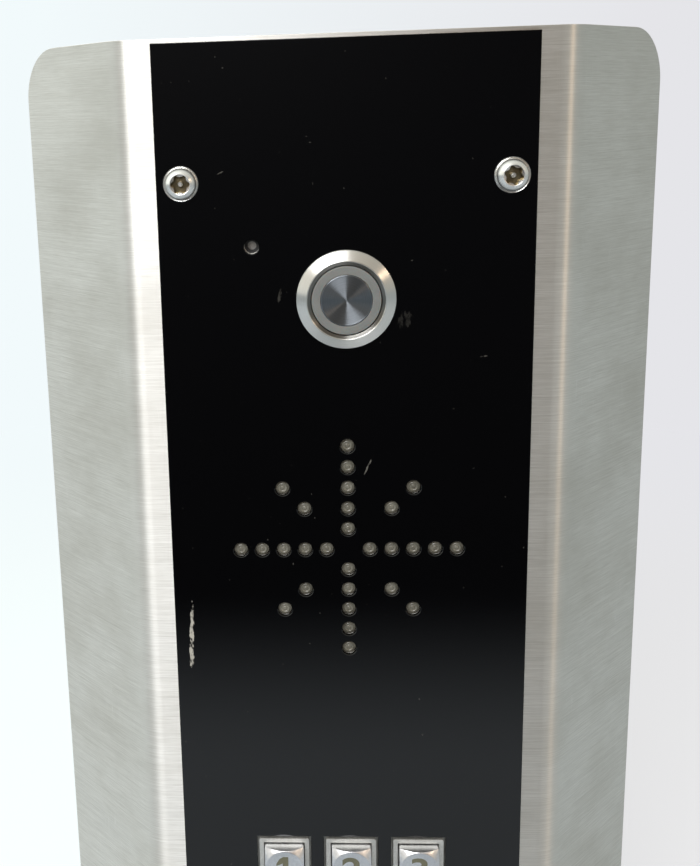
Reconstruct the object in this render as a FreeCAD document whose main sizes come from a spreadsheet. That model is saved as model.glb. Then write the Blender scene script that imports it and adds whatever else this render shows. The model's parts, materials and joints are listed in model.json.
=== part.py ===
import FreeCAD, Part
import math
import os
import re

import Sketcher
from FreeCAD import Placement, Rotation, Vector

# Wall-mounted door entry panel: folded steel cover with a black facia, call button, speaker and keypad.
# The wall is the plane Y = 0, the panel faces -Y, +Z is up and X = 0 is the panel's centre line.
# A "front", "back" or "face" size is a distance from the wall. A "level" is a height along Z.

doc = FreeCAD.newDocument("door_entry_panel")
sheet = doc.addObject("Spreadsheet::Sheet", "Sizes")

# Driving dimensions, in millimetres and degrees

sizes = {
    # Folded front plate
    "panel_depth": 26.5,
    "flat_half": 49.0,
    "wing_angle": 45.0,
    "sheet": 1.5,
    "bend_radius": 9.0,
    "wing_corner": 12.0,
    # Facia
    "facia_side_gap": 4.12,
    "facia_margin": 0.95,
    "facia_thick": 1.0,
    # Security screws and their pillars
    "screw_edge": 5.5,
    "screw_drop": 29.8,
    "screw_size": 4.0,
    "screw_hole_gap": 0.5,
    "screw_length": 12.0,
    "screw_head": 7.7,
    "screw_head_height": 2.2,
    "screw_dome": 1.8,
    "socket_size": 2.9,
    "socket_depth": 1.4,
    "lobe_size": 1.0,
    "lobe_circle": 2.95,
    "socket_pin": 1.1,
    "thread_gap": 0.05,
    "pillar_flats": 7.0,
    "pillar_tip_gap": 1.0,
    # Back tray, seal, wall fixings and cable bush
    "tray_side_gap": 1.3,
    "tray_end_gap": 4.0,
    "tray_wall": 1.2,
    "tray_flange": 4.0,
    "seal_thick": 2.0,
    "seal_width": 3.4,
    "fixing_half_x": 26.0,
    "fixing_inset": 15.5,
    "fixing_hole": 5.0,
    "cable_inset": 15.5,
    "cable_hole": 12.0,
    "bush_bore": 8.0,
    "bush_flange": 16.0,
    "bush_flange_thick": 1.4,
    "bush_gap": 0.05,
    # Call button
    "button_drop": 56.1,
    "button_thread": 18.8,
    "button_wall": 0.9,
    "bezel_rim": 0.4,
    "bezel_proud": 2.0,
    "bezel_edge": 0.7,
    "mouth_chamfer": 0.85,
    "ring_width": 2.0,
    "ring_recess": 0.15,
    "disc_thick": 0.8,
    "disc_gap": 0.05,
    "button_gap": 0.2,
    "mouth_depth": 0.8,
    "button_hole_gap": 0.4,
    "button_length": 12.0,
    "shoulder_depth": 5.0,
    "plunger_flange_reach": 0.6,
    "plunger_flange_thick": 1.0,
    "plunger_web": 1.2,
    "plunger_wall": 0.5,
    "rest_gap": 0.1,
    "button_travel": 1.8,
    "block_gap": 1.2,
    "block_cap": 3.0,
    "spring_side_gap": 0.7,
    "spring_wire": 0.6,
    "spring_turns": 5.0,
    "spring_seat_gap": 0.05,
    "button_seal_gap": 0.5,
    "button_seal_width": 0.7,
    "button_seal_thick": 0.6,
    "button_nut_wall": 2.6,
    "button_nut_thick": 3.0,
    "lamp_height": 0.8,
    "lamp_side": 1.6,
    "lamp_offset": 1.4,
    "blade_length": 4.0,
    "blade_width": 2.0,
    "blade_thick": 0.6,
    "blade_half_x": 3.5,
    "blade_half_z": 3.0,
    "plug_side": 11.0,
    "plug_depth": 5.0,
    # Speaker
    "speaker_drop": 115.1,
    "hole_pitch": 5.0,
    "sound_hole": 3.5,
    "plate_hole_extra": 0.5,
    "speaker_size": 60.0,
    "mesh_thick": 0.4,
    "gasket_thick": 0.7,
    "rim_width": 3.0,
    "rim_thick": 1.0,
    "basket_depth": 9.0,
    "basket_floor_radius": 17.0,
    "basket_floor_thick": 1.0,
    "basket_window_inset": 1.0,
    "basket_window_end": 2.0,
    "basket_window_inner_half": 5.1,
    "basket_window_outer_half": 8.6,
    "cone_thick": 0.4,
    "cone_root_thick": 0.55,
    "cone_neck_radius": 9.0,
    "cone_drop": 6.3,
    "cap_rise": 2.3,
    "cap_shoulder_radius": 5.4,
    "cap_shoulder_rise": 1.85,
    "cap_shoulder_thick": 0.5,
    "coil_radius": 6.9,
    "coil_wall": 0.4,
    "coil_depth": 6.0,
    "coil_outer_rise": 0.45,
    "coil_inner_rise": 0.7,
    "coil_gap": 0.25,
    "magnet_radius": 16.0,
    "magnet_bore_radius": 9.0,
    "magnet_thick": 5.0,
    "pole_plate_radius": 14.0,
    "pole_plate_thick": 1.5,
    "clip_reach": 3.0,
    "clip_width": 6.0,
    "clip_basket_gap": 0.3,
    "clip_thick": 1.0,
    "tag_width": 10.0,
    "tag_thick": 1.5,
    "tag_length": 4.0,
    # Weld studs and nuts
    "stud_size": 3.0,
    "stud_nut_flats": 5.5,
    "stud_nut_thick": 2.4,
    "stud_tip": 0.8,
    # Microphone
    "mic_side": 20.6,
    "mic_drop": 44.0,
    "mic_hole": 3.3,
    "mic_size": 9.7,
    "mic_length": 6.7,
    "mic_fit": 0.05,
    "boot_wall": 2.0,
    "boot_front": 1.2,
    "boot_port": 2.0,
    # Keypad
    "keypad_drop": 191.3,
    "key_pitch": 16.5,
    "collar_wall": 1.13,
    "collar_corner": 0.8,
    "collar_proud": 0.2,
    "window_gap": 0.5,
    "key_side": 9.6,
    "key_gap": 0.22,
    "key_corner": 0.5,
    "key_proud": 3.0,
    "key_shoulder": 0.45,
    "key_slope": 27.0,
    "key_rim": 0.35,
    "key_dish_depth": 0.35,
    "key_flange_reach": 1.0,
    "key_flange_thick": 1.0,
    "key_flange_gap": 0.2,
    "key_travel": 1.2,
    "key_stop_gap": 0.3,
    "keypad_foot": 32.0,
    "frame_thick": 4.0,
    "frame_border_x": 3.0,
    "frame_border_z": 7.0,
    "frame_stud_inset": 3.3,
    "mat_thick": 1.0,
    "mat_border_x": 2.25,
    "mat_border_z": 0.3,
    "dome_base": 9.0,
    "dome_top": 6.0,
    "dome_wall": 0.8,
    "circuit_board": 1.6,
    "small_screw": 2.5,
    "small_screw_length": 5.0,
    "small_screw_head": 4.8,
    "small_screw_head_height": 1.6,
    "key_lamp_offset": 2.0,
    "key_lamp_height": 0.7,
    # Main board
    "standoff_height": 5.0,
    "standoff_flats": 5.5,
    "board_side_gap": 4.8,
    "board_upper_gap": 3.45,
    "board_lower_gap": 5.25,
    "board_hole_inset": 4.0,
    "board_screw": 3.0,
    "board_screw_head": 5.6,
    "board_screw_head_height": 1.8,
    "board_screw_length": 5.0,
    "terminal_pitch": 5.08,
    "terminal_ways": 6.0,
    "terminal_width": 9.0,
    "terminal_height": 10.0,
    "terminal_inset": 7.5,
    "terminal_centre": 17.5,
    "wire_port": 3.2,
    "wire_port_height": 3.6,
    "wire_port_depth": 6.0,
    "terminal_screw": 3.0,
    "terminal_screw_length": 2.5,
    "terminal_screw_recess": 1.0,
    "screw_well_gap": 0.2,
    "relay_width": 19.0,
    "relay_length": 15.5,
    "relay_height": 10.5,
    "relay_centre_x": 25.0,
    "tall_row": 27.5,
    "capacitor_size": 8.0,
    "capacitor_height": 9.5,
    "capacitor_first_x": 31.0,
    "capacitor_step": 10.0,
    "processor_side": 14.0,
    "processor_thick": 1.4,
    "processor_offset": 3.65,
    "amplifier_width": 10.3,
    "amplifier_length": 7.5,
    "amplifier_thick": 2.3,
    "side_column": 22.0,
    "trimmer_side": 9.5,
    "trimmer_height": 4.8,
    "trimmer_rotor": 6.0,
    "trimmer_rotor_height": 0.8,
    "trimmer_slot": 1.0,
    "header_width": 20.0,
    "header_length": 5.0,
    "main_header_height": 4.7,
    "key_header_height": 2.5,
    "header_offset": 11.0,
    "header_span": 26.0,
    "ribbon_width": 16.0,
    "ribbon_thick": 0.9,
    "ribbon_straight": 4.0,
    # Leads inside the case
    "thin_lead": 2.0,
    "button_lead": 3.0,
    "lead_face": 5.5,
    "lead_foot_drop": 26.0,
    "port_rise": 6.0,
    "mic_lead_lift": 2.0,
    "mic_lead_drop": 14.0,
    "button_lead_out": 16.0,
    "button_lead_drop": 16.0,
    "speaker_lead_drop": 5.0,
    "clip_block_side": 7.0,
    "clip_block_length": 6.0,
    "clip_block_height": 6.8,
    "clip_block_gap": 0.05,
    "clip_wall_gap": 2.2,
    "upper_clip_drop": 92.0,
    "lower_clip_drop": 122.0,
}

# Sizes that follow from the driving dimensions

derived = {
    "key_opening": "key_side + 2 * key_gap",
    "collar_side": "key_opening + 2 * collar_wall",
    "keypad_half_x": "key_pitch + collar_side / 2",
    "keypad_half_z": "1.5 * key_pitch + collar_side / 2",
    "panel_height": "2 * facia_margin + keypad_drop + 2 * keypad_half_z + keypad_foot",
    "foot_outer_y": "sheet * cos(wing_angle)",
    "foot_outer_x": "flat_half + (panel_depth - sheet * cos(wing_angle)) / tan(wing_angle)",
    "foot_inner_x": "foot_outer_x - sheet * sin(wing_angle)",
    "flat_half_inner": "flat_half - sheet * tan(wing_angle / 2)",
    "bend_radius_inner": "bend_radius - sheet",
    "plate_back": "panel_depth - sheet",
    "facia_front": "panel_depth + facia_thick",
    "facia_top": "panel_height / 2 - facia_margin",
    "plate_flat_half": "flat_half - bend_radius * tan(wing_angle / 2)",
    "facia_width": "2 * (plate_flat_half - facia_side_gap)",
    "screw_half": "facia_width / 2 - screw_edge",
    "screw_level": "facia_top - screw_drop",
    "screw_hole": "screw_size + screw_hole_gap",
    "screw_tip": "facia_front - screw_length",
    "pillar_bore_end": "screw_tip - pillar_tip_gap",
    "tray_half": "plate_flat_half - tray_side_gap",
    "tray_top": "panel_height / 2 - tray_end_gap",
    "tray_rim": "plate_back - seal_thick",
    "fixing_half_z": "tray_top - fixing_inset",
    "cable_level": "0 - (tray_top - cable_inset)",
    "button_level": "facia_top - button_drop",
    "button_hole": "button_thread + button_hole_gap",
    "bezel_front": "facia_front + bezel_proud",
    "button_rear_bore": "button_thread - 2 * button_wall",
    "plunger_flange": "button_rear_bore - 2 * button_gap",
    "ring_size": "plunger_flange - 2 * plunger_flange_reach",
    "button_bore": "ring_size + 2 * button_gap",
    "bezel_mouth": "button_bore + 2 * mouth_chamfer",
    "disc_size": "ring_size - 2 * ring_width",
    "plunger_cavity": "disc_size - 2 * plunger_wall",
    "spring_size": "plunger_cavity - 2 * spring_side_gap",
    "lamp_circle": "plunger_cavity / 2 + lamp_offset",
    "button_seal_inner": "button_thread + 2 * button_seal_gap",
    "button_seal_outer": "button_seal_inner + 2 * button_seal_width",
    "bezel_size": "button_seal_outer + 2 * bezel_rim",
    "button_nut_flats": "button_thread + 2 * button_nut_wall",
    "button_back": "facia_front - button_length",
    "shoulder": "bezel_front - shoulder_depth",
    "ring_front": "bezel_front - ring_recess",
    "disc_back": "ring_front - disc_thick",
    "cavity_front": "disc_back - plunger_web",
    "plunger_flange_front": "shoulder - rest_gap",
    "plunger_back": "plunger_flange_front - plunger_flange_thick",
    "block_front": "plunger_back - button_travel - block_gap",
    "block_back": "button_back - block_cap",
    "blade_back": "block_back - blade_length",
    "spring_back": "block_front + spring_seat_gap",
    "spring_front": "cavity_front - spring_seat_gap",
    "speaker_level": "facia_top - speaker_drop",
    "plate_sound_hole": "sound_hole + plate_hole_extra",
    "speaker_radius": "speaker_size / 2",
    "mesh_back": "plate_back - mesh_thick",
    "gasket_back": "mesh_back - gasket_thick",
    "rim_front": "gasket_back - cone_thick",
    "rim_back": "rim_front - rim_thick",
    "rim_inner": "speaker_radius - rim_width",
    "basket_floor_front": "rim_front - basket_depth",
    "basket_floor_back": "basket_floor_front - basket_floor_thick",
    "pole_plate_back": "basket_floor_back - pole_plate_thick",
    "magnet_back": "pole_plate_back - magnet_thick",
    "yoke_back": "magnet_back - pole_plate_thick",
    "gap_bore": "coil_radius + coil_gap",
    "pole_radius": "coil_radius - coil_wall - coil_gap",
    "cone_neck": "gasket_back - cone_drop",
    "clip_circle": "speaker_radius + clip_reach",
    "clip_stud": "clip_circle / sqrt(2)",
    "clip_start": "rim_inner + rim_thick + clip_basket_gap",
    "clip_length": "clip_circle + clip_width / 2 - clip_start",
    "clip_back": "rim_back - clip_thick",
    "mic_level": "facia_top - mic_drop",
    "mic_x": "0 - mic_side",
    "boot_size": "mic_size + 2 * boot_wall",
    "mic_front": "plate_back - boot_front",
    "mic_back": "mic_front - mic_length",
    "keypad_level": "facia_top - keypad_drop - collar_side / 2 - 1.5 * key_pitch",
    "collar_front": "facia_front + collar_proud",
    "key_window": "collar_side + 2 * window_gap",
    "key_flange": "key_side + 2 * key_flange_reach",
    "key_well_side": "key_flange + 2 * key_flange_gap",
    "key_well": "key_travel + key_flange_thick + rest_gap + key_stop_gap",
    "frame_back": "plate_back - frame_thick",
    "frame_half_x": "keypad_half_x + frame_border_x",
    "frame_half_z": "keypad_half_z + frame_border_z",
    "frame_stud_x": "key_pitch",
    "frame_stud_z": "frame_half_z - frame_stud_inset",
    "key_flange_front": "frame_back + key_well - rest_gap",
    "key_flange_back": "key_flange_front - key_flange_thick",
    "key_front": "collar_front + key_proud",
    "key_face": "key_side - 2 * key_shoulder",
    "key_dish": "key_face - 2 * key_rim",
    "key_dish_radius": "((key_dish / 2)^2 + key_dish_depth^2) / (2 * key_dish_depth)",
    "mat_half_x": "keypad_half_x + mat_border_x",
    "mat_half_z": "keypad_half_z + mat_border_z",
    "mat_back": "frame_back - mat_thick",
    "dome_front": "key_flange_back - rest_gap",
    "key_board_back": "mat_back - circuit_board",
    "small_screw_x": "key_pitch / 2",
    "small_screw_z": "key_pitch",
    "small_screw_tip": "key_board_back + small_screw_length",
    "board_back": "tray_wall + standoff_height",
    "board_front": "board_back + circuit_board",
    "board_high": "speaker_level - speaker_radius - board_upper_gap",
    "board_low": "0 - screw_level + pillar_flats / 2 + board_lower_gap",
    "board_width": "2 * (tray_half - tray_wall - board_side_gap)",
    "board_height": "board_high - board_low",
    "board_centre": "(board_high + board_low) / 2",
    "board_hole_x": "board_width / 2 - board_hole_inset",
    "board_hole_z": "board_height / 2 - board_hole_inset",
    "terminal_length": "terminal_pitch * terminal_ways",
    "terminal_high": "board_high - terminal_inset",
    "terminal_low": "terminal_high - terminal_width",
    "terminal_front": "board_front + terminal_height",
    "wire_port_face": "board_front + wire_port_height",
    "tall_level": "board_high - tall_row",
    "processor_level": "keypad_level + processor_offset",
    "key_header_level": "keypad_level + header_offset",
    "header_level": "key_header_level - header_span",
    "main_header_front": "board_front + main_header_height",
    "key_header_back": "key_board_back - key_header_height",
    "lead_side": "tray_half - tray_wall - clip_block_side / 2 - clip_wall_gap",
    "lead_foot": "speaker_level - lead_foot_drop",
    "upper_clip_level": "facia_top - upper_clip_drop",
    "lower_clip_level": "facia_top - lower_clip_drop",
    "nut_back": "plate_back - button_nut_thick",
}

for row, (name, number) in enumerate(sizes.items(), start=1):
    sheet.set("A%d" % row, name)
    sheet.set("B%d" % row, str(number))
    sheet.setAlias("B%d" % row, name)
for row, (name, formula) in enumerate(derived.items(), start=1):
    sheet.set("D%d" % row, name)
    sheet.set("E%d" % row, "=" + formula)
    sheet.setAlias("E%d" % row, name)
doc.recompute()

nodes = []


# Helpers: sizes by name

def measure(text):
    """Work out a formula of sizes as a number."""
    return float(sheet.evalExpression(text))


def ref(text):
    """Write each size in a formula as a reference to its cell."""
    def cell(word):
        known = word.group() in sizes or word.group() in derived
        return "Sizes." + word.group() if known else word.group()
    return re.sub(r"[a-z_]+", cell, text)


def bind(thing, **formulas):
    """Tie properties of an object to the sheet; a double underscore stands for a dot."""
    for name, formula in formulas.items():
        thing.setExpression(name.replace("__", "."), ref(formula))
    return thing


def keep(thing, label):
    """Name a finished piece of the panel."""
    thing.Label = label
    nodes.append(thing)
    return thing


# Helpers: sketches, whose points are held at formulas of sizes

def add_held(sketch, geometry, joins, held):
    """Add geometry with its joins, and hold its points at formulas, so that it is solved only once."""
    sketch.addGeometry(geometry, False)
    first = sketch.ConstraintCount + len(joins)
    sizes_held = [Sketcher.Constraint(kind, *where, measure(size)) for kind, where, size in held]
    sketch.addConstraint(joins + sizes_held)
    for index, (kind, where, size) in enumerate(held, start=first):
        sketch.setExpression("Constraints[%d]" % index, ref(size))


def origin_plane(body, role):
    return next(plane for plane in body.Origin.OriginFeatures if plane.Role == role)


def new_sketch(body, name, role, level="0"):
    """Sketch on a plane of the body, level millimetres out from it along its normal."""
    sketch = body.newObject("Sketcher::SketchObject", name)
    sketch.AttachmentSupport = (origin_plane(body, role), [""])
    sketch.MapMode = "FlatFace"
    sketch.setExpression("AttachmentOffset.Base.z", ref(level))
    return sketch


def face_sketch(body, name, level="0"):
    """Sketch seen from the front, at a distance from the wall: sketch x is X, sketch y is Z."""
    return new_sketch(body, name, "XZ_Plane", level)


def draw_outlines(sketch, outlines):
    """Closed outlines of straight lines through points given as formulas."""
    lines, joins, held = [], [], []
    first = sketch.GeometryCount
    for points in outlines:
        corners = [Vector(measure(x), measure(y), 0) for x, y in points]
        start = first + len(lines)
        for index, (x, y) in enumerate(points):
            after = (index + 1) % len(points)
            lines.append(Part.LineSegment(corners[index], corners[after]))
            joins.append(Sketcher.Constraint("Coincident", start + index, 2, start + after, 1))
            held.append(("DistanceX", (-1, 1, start + index, 1), x))
            held.append(("DistanceY", (-1, 1, start + index, 1), y))
    add_held(sketch, lines, joins, held)


def box_outline(left, right, low, high):
    return [(left, low), (right, low), (right, high), (left, high)]


def square_outline(x, z, side):
    half = "(%s) / 2" % side
    edges = [form % (centre, half) for centre in (x, z) for form in ("%s - %s", "%s + %s")]
    return box_outline(*edges)


def draw_circles(sketch, circles):
    """Circles given as formulas: sideways, up and diameter."""
    first = sketch.GeometryCount
    rings, held = [], []
    for index, (x, z, diameter) in enumerate(circles, start=first):
        centre = Vector(measure(x), measure(z), 0)
        rings.append(Part.Circle(centre, Vector(0, 0, 1), measure(diameter) / 2))
        held.append(("DistanceX", (-1, 1, index, 3), x))
        held.append(("DistanceY", (-1, 1, index, 3), z))
        held.append(("Diameter", (index,), diameter))
    add_held(sketch, rings, [], held)


# Helpers: features

def new_body(name, x="0", z="0"):
    body = doc.addObject("PartDesign::Body", name)
    return bind(body, Placement__Base__x=x, Placement__Base__z=z)


def pad(body, sketch, length):
    """Grow the sketch towards the front."""
    feature = body.newObject("PartDesign::Pad", sketch.Name + "_pad")
    feature.Profile = sketch
    bind(feature, Length=length)
    doc.recompute()
    return feature


def pocket(body, sketch, depth, from_back=False):
    """Cut the sketch towards the wall, or towards the front when it lies on a back face."""
    feature = body.newObject("PartDesign::Pocket", sketch.Name + "_pocket")
    feature.Profile = sketch
    feature.Reversed = from_back
    bind(feature, Length=depth)
    doc.recompute()
    return feature


def pocket_through(body, sketch):
    """Cut a sketch on the wall plane right through, towards the front."""
    feature = body.newObject("PartDesign::Pocket", sketch.Name + "_pocket")
    feature.Profile = sketch
    feature.Type = "ThroughAll"
    feature.Reversed = True
    doc.recompute()
    return feature


def revolve(body, points, kind="PartDesign::Revolution"):
    """Turn an outline of (radius, distance from the wall) about the body's depth axis."""
    sketch = new_sketch(body, body.Name + "_profile", "XY_Plane")
    draw_outlines(sketch, [[(radius, "0 - (%s)" % depth) for radius, depth in points]])
    feature = body.newObject(kind, sketch.Name + "_turned")
    feature.Profile = sketch
    feature.ReferenceAxis = (sketch, ["V_Axis"])
    feature.Angle = 360
    doc.recompute()
    return feature


def turned_body(name, points, x="0", z="0"):
    body = new_body(name, x, z)
    revolve(body, points)
    return body


def turned(name, points, x="0", z="0"):
    return keep(turned_body(name, points, x, z), name)


def fillet(body, feature, wanted, radius):
    """Round the edges of a feature that pass a test of their middle point and direction."""
    names = []
    for index, edge in enumerate(feature.Shape.Edges, start=1):
        start, end = edge.Vertexes[0].Point, edge.Vertexes[-1].Point
        if start.distanceToPoint(end) > 1e-6 and wanted((start + end) / 2, (end - start).normalize()):
            names.append("Edge%d" % index)
    rounding = body.newObject("PartDesign::Fillet", body.Name + "_rounding")
    rounding.Base = (feature, names)
    bind(rounding, Radius=radius)
    doc.recompute()
    return rounding


def pattern(body, kind, name, sketch, axis, length, count):
    """Row of copies along an axis of the sketch; the length is from the first copy to the last."""
    repeats = body.newObject("PartDesign::" + kind, name)
    repeats.Direction = (sketch, [axis])
    repeats.Occurrences = count
    return bind(repeats, Length=length)


def repeat_keys(body, feature):
    """Repeat a feature made at the first key over the columns and rows of the keypad."""
    sketch = feature.Profile[0]
    columns = pattern(body, "LinearPattern", feature.Name + "_columns", sketch, "H_Axis", "2 * key_pitch", 3)
    rows = pattern(body, "LinearPattern", feature.Name + "_rows", sketch, "V_Axis", "3 * key_pitch", 4)
    rows.Reversed = True
    grid = body.newObject("PartDesign::MultiTransform", feature.Name + "_grid")
    grid.Transformations = [columns, rows]
    grid.Originals = [feature]
    body.Tip = grid
    doc.recompute()
    return grid


def repeat_round(body, feature, count):
    """Repeat a feature around the depth axis of its body."""
    ring = body.newObject("PartDesign::PolarPattern", feature.Name + "_ring")
    ring.Originals = [feature]
    ring.Axis = (feature.Profile[0], ["N_Axis"])
    ring.Angle = 360
    ring.Occurrences = count
    body.Tip = ring
    doc.recompute()
    return ring


# Helpers: plain shapes, placed by formulas

FORWARD = Rotation(Vector(1, 0, 0), 90)


def block(name, left, right, back, front, low, high):
    box = doc.addObject("Part::Box", name)
    bind(box, Length="(%s) - (%s)" % (right, left))
    bind(box, Width="(%s) - (%s)" % (front, back))
    bind(box, Height="(%s) - (%s)" % (high, low))
    return bind(box, Placement__Base__x=left, Placement__Base__y="0 - (%s)" % front, Placement__Base__z=low)


def post(name, x, z, diameter, back, front):
    """Round bar that points forward, away from the wall."""
    bar = doc.addObject("Part::Cylinder", name)
    bar.Placement = Placement(Vector(), FORWARD)
    bind(bar, Radius="(%s) / 2" % diameter, Height="(%s) - (%s)" % (front, back))
    return bind(bar, Placement__Base__x=x, Placement__Base__y="0 - (%s)" % back, Placement__Base__z=z)


def hexagon(name, x, z, flats, back, front):
    """Six-sided bar that points forward, with two flats facing sideways."""
    bar = doc.addObject("Part::Prism", name)
    bar.Polygon = 6
    bar.Placement = Placement(Vector(), FORWARD.multiply(Rotation(Vector(0, 0, 1), 30)))
    bind(bar, Circumradius="(%s) / 2 / cos(30)" % flats, Height="(%s) - (%s)" % (front, back))
    return bind(bar, Placement__Base__x=x, Placement__Base__y="0 - (%s)" % back, Placement__Base__z=z)


def gather(name, pieces):
    group = doc.addObject("Part::Compound", name)
    group.Links = pieces
    return group


def cut(name, base, tools):
    result = doc.addObject("Part::Cut", name)
    result.Base = base
    result.Tool = tools[0] if len(tools) == 1 else gather(name + "_tools", tools)
    return result


def fuse(name, pieces):
    result = doc.addObject("Part::MultiFuse", name)
    result.Shapes = pieces
    return result


def mirror(piece, normal, level="0"):
    twin = doc.addObject("Part::Mirroring", piece.Name + "_mirrored")
    twin.Source = piece
    twin.Normal = normal
    return bind(twin, Base__z=level)


def pair(name, piece):
    """The piece and its mirror image on the other side of the centre line."""
    return gather(name, [piece, mirror(piece, Vector(1, 0, 0))])


def corners(name, piece, level="0"):
    """Four of the piece, mirrored across the centre line and across a level."""
    side_twin = mirror(piece, Vector(1, 0, 0))
    low_twin = mirror(piece, Vector(0, 0, 1), level)
    return gather(name, [piece, side_twin, low_twin, mirror(side_twin, Vector(0, 0, 1), level)])


# Helpers: paths of arcs for the spring, the ribbon and the leads

def place(x, front, z):
    """Point given as formulas: sideways, distance from the wall and height."""
    return Vector(measure(x), -measure(front), measure(z))


def corner_arc(start, corner, end):
    """Arc that leaves start towards the corner and comes to end from it; both are as far from the corner."""
    into = (corner - start).normalize()
    away = (end - corner).normalize()
    half_turn = into.getAngle(away) / 2
    radius = corner.distanceToPoint(start) / math.tan(half_turn)
    inward = (away - into).normalize()
    middle = corner + inward * (radius / math.cos(half_turn) - radius)
    return Part.Arc(start, middle, end).toShape()


def rounded_path(points):
    """Straight runs joined by tangent arcs, each as large as its two runs allow."""
    edges = []
    last = points[0]
    for before, corner, after in zip(points, points[1:], points[2:]):
        setback = 0.45 * min(corner.distanceToPoint(before), corner.distanceToPoint(after))
        start = corner + (before - corner).normalize() * setback
        end = corner + (after - corner).normalize() * setback
        edges.append(Part.LineSegment(last, start).toShape())
        edges.append(corner_arc(start, corner, end))
        last = end
    edges.append(Part.LineSegment(last, points[-1]).toShape())
    return Part.Wire(edges)


def two_arcs(start, start_way, end, end_way):
    """Two arcs that meet smoothly, between two points with a direction at each."""
    chord = end - start
    both_ways = start_way + end_way
    slack = 4 - both_ways.dot(both_ways)
    along = chord.dot(both_ways)
    setback = (math.sqrt(along ** 2 + slack * chord.dot(chord)) - along) / slack
    first_corner = start + start_way * setback
    last_corner = end - end_way * setback
    middle = (first_corner + last_corner) / 2
    return [corner_arc(start, first_corner, middle), corner_arc(middle, last_corner, end)]


# Places that several pieces share

KEY_ROWS = [["1", "2", "3"], ["4", "5", "6"], ["7", "8", "9"], ["star", "0", "hash"]]
KEYS = {name: (column - 1, 1.5 - row)
        for row, names in enumerate(KEY_ROWS) for column, name in enumerate(names)}


def key_place(name):
    """Centre of a key as formulas: columns and rows are one pitch apart."""
    column, row = KEYS[name]
    return "%d * key_pitch" % column, "keypad_level + %.1f * key_pitch" % row


def draw_first_key(sketch, side):
    draw_outlines(sketch, [square_outline(*key_place("1"), side)])


def sound_holes(diameter):
    """Upright cross of five holes an arm and a slanting cross of two, with no hole at the centre."""
    steps = [(step, 0) for step in range(1, 6)] + [(0, step) for step in range(1, 6)]
    steps += [(step, step) for step in (2, 3)] + [(step, -step) for step in (2, 3)]
    steps += [(-across, -up) for across, up in steps]
    places = [("%d * hole_pitch" % across, "speaker_level + %d * hole_pitch" % up) for across, up in steps]
    return [place + (diameter,) for place in places]


def corner_holes(x, z, diameter, level="0"):
    """Four holes in the corners of a rectangle about a level on the centre line."""
    return [(side % x, up % (level, z), diameter)
            for side in ("%s", "0 - %s") for up in ("%s + %s", "%s - %s")]


def cut_face_openings(body, sound_hole):
    """Cut every opening that the plate and the facia share; only the sound holes differ in size."""
    openings = face_sketch(body, body.Name + "_holes")
    holes = corner_holes("screw_half", "screw_level", "screw_hole")
    holes.append(("0", "button_level", "button_hole"))
    holes.append(("mic_x", "mic_level", "mic_hole"))
    draw_circles(openings, holes)
    pocket_through(body, openings)
    grille = face_sketch(body, body.Name + "_grille")
    draw_circles(grille, sound_holes(sound_hole))
    pocket_through(body, grille)
    window = face_sketch(body, body.Name + "_window")
    draw_first_key(window, "key_window")
    repeat_keys(body, pocket_through(body, window))


# Folded front plate

def make_front_plate():
    body = new_body("front_plate")
    section = new_sketch(body, "plate_section", "XY_Plane")
    right = [("foot_inner_x", "0"), ("flat_half_inner", "0 - plate_back")]
    right_outer = [("flat_half", "0 - panel_depth"), ("foot_outer_x", "0 - foot_outer_y")]
    inner = [("0 - " + x, y) for x, y in right] + right[::-1]
    outer = right_outer[::-1] + [("0 - " + x, y) for x, y in right_outer]
    draw_outlines(section, [inner + outer])
    folded = body.newObject("PartDesign::Pad", "plate_fold")
    folded.Profile = section
    folded.SideType = "Symmetric"
    bind(folded, Length="panel_height")
    doc.recompute()

    def outer_bend(middle, along):
        return abs(along.z) > 0.9 and abs(abs(middle.x) - measure("flat_half")) < 0.01 and middle.y < -1

    def inner_bend(middle, along):
        return abs(along.z) > 0.9 and abs(abs(middle.x) - measure("flat_half_inner")) < 0.01 and middle.y < -1

    def wing_tip(middle, along):
        thickness_way = math.sin(math.radians(measure("wing_angle")))
        across = abs(along.z) < 0.1 and abs(abs(along.x) - thickness_way) < 0.01
        return across and abs(middle.x) > measure("foot_inner_x") and middle.y > -measure("foot_outer_y")

    bent = fillet(body, folded, outer_bend, "bend_radius")
    bent = fillet(body, bent, inner_bend, "bend_radius_inner")
    fillet(body, bent, wing_tip, "wing_corner")

    cut_face_openings(body, "plate_sound_hole")
    keep(body, "front_plate")


# Acrylic facia, stuck to the plate's flat

def make_facia():
    body = new_body("facia")
    outline = face_sketch(body, "facia_outline", "panel_depth")
    half = "facia_width / 2"
    draw_outlines(outline, [box_outline("0 - " + half, half, "0 - facia_top", "facia_top")])
    pad(body, outline, "facia_thick")
    cut_face_openings(body, "sound_hole")
    keep(body, "facia")


# Security screws: button heads with a six-lobe socket and a centre pin, in threaded pillars

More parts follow.
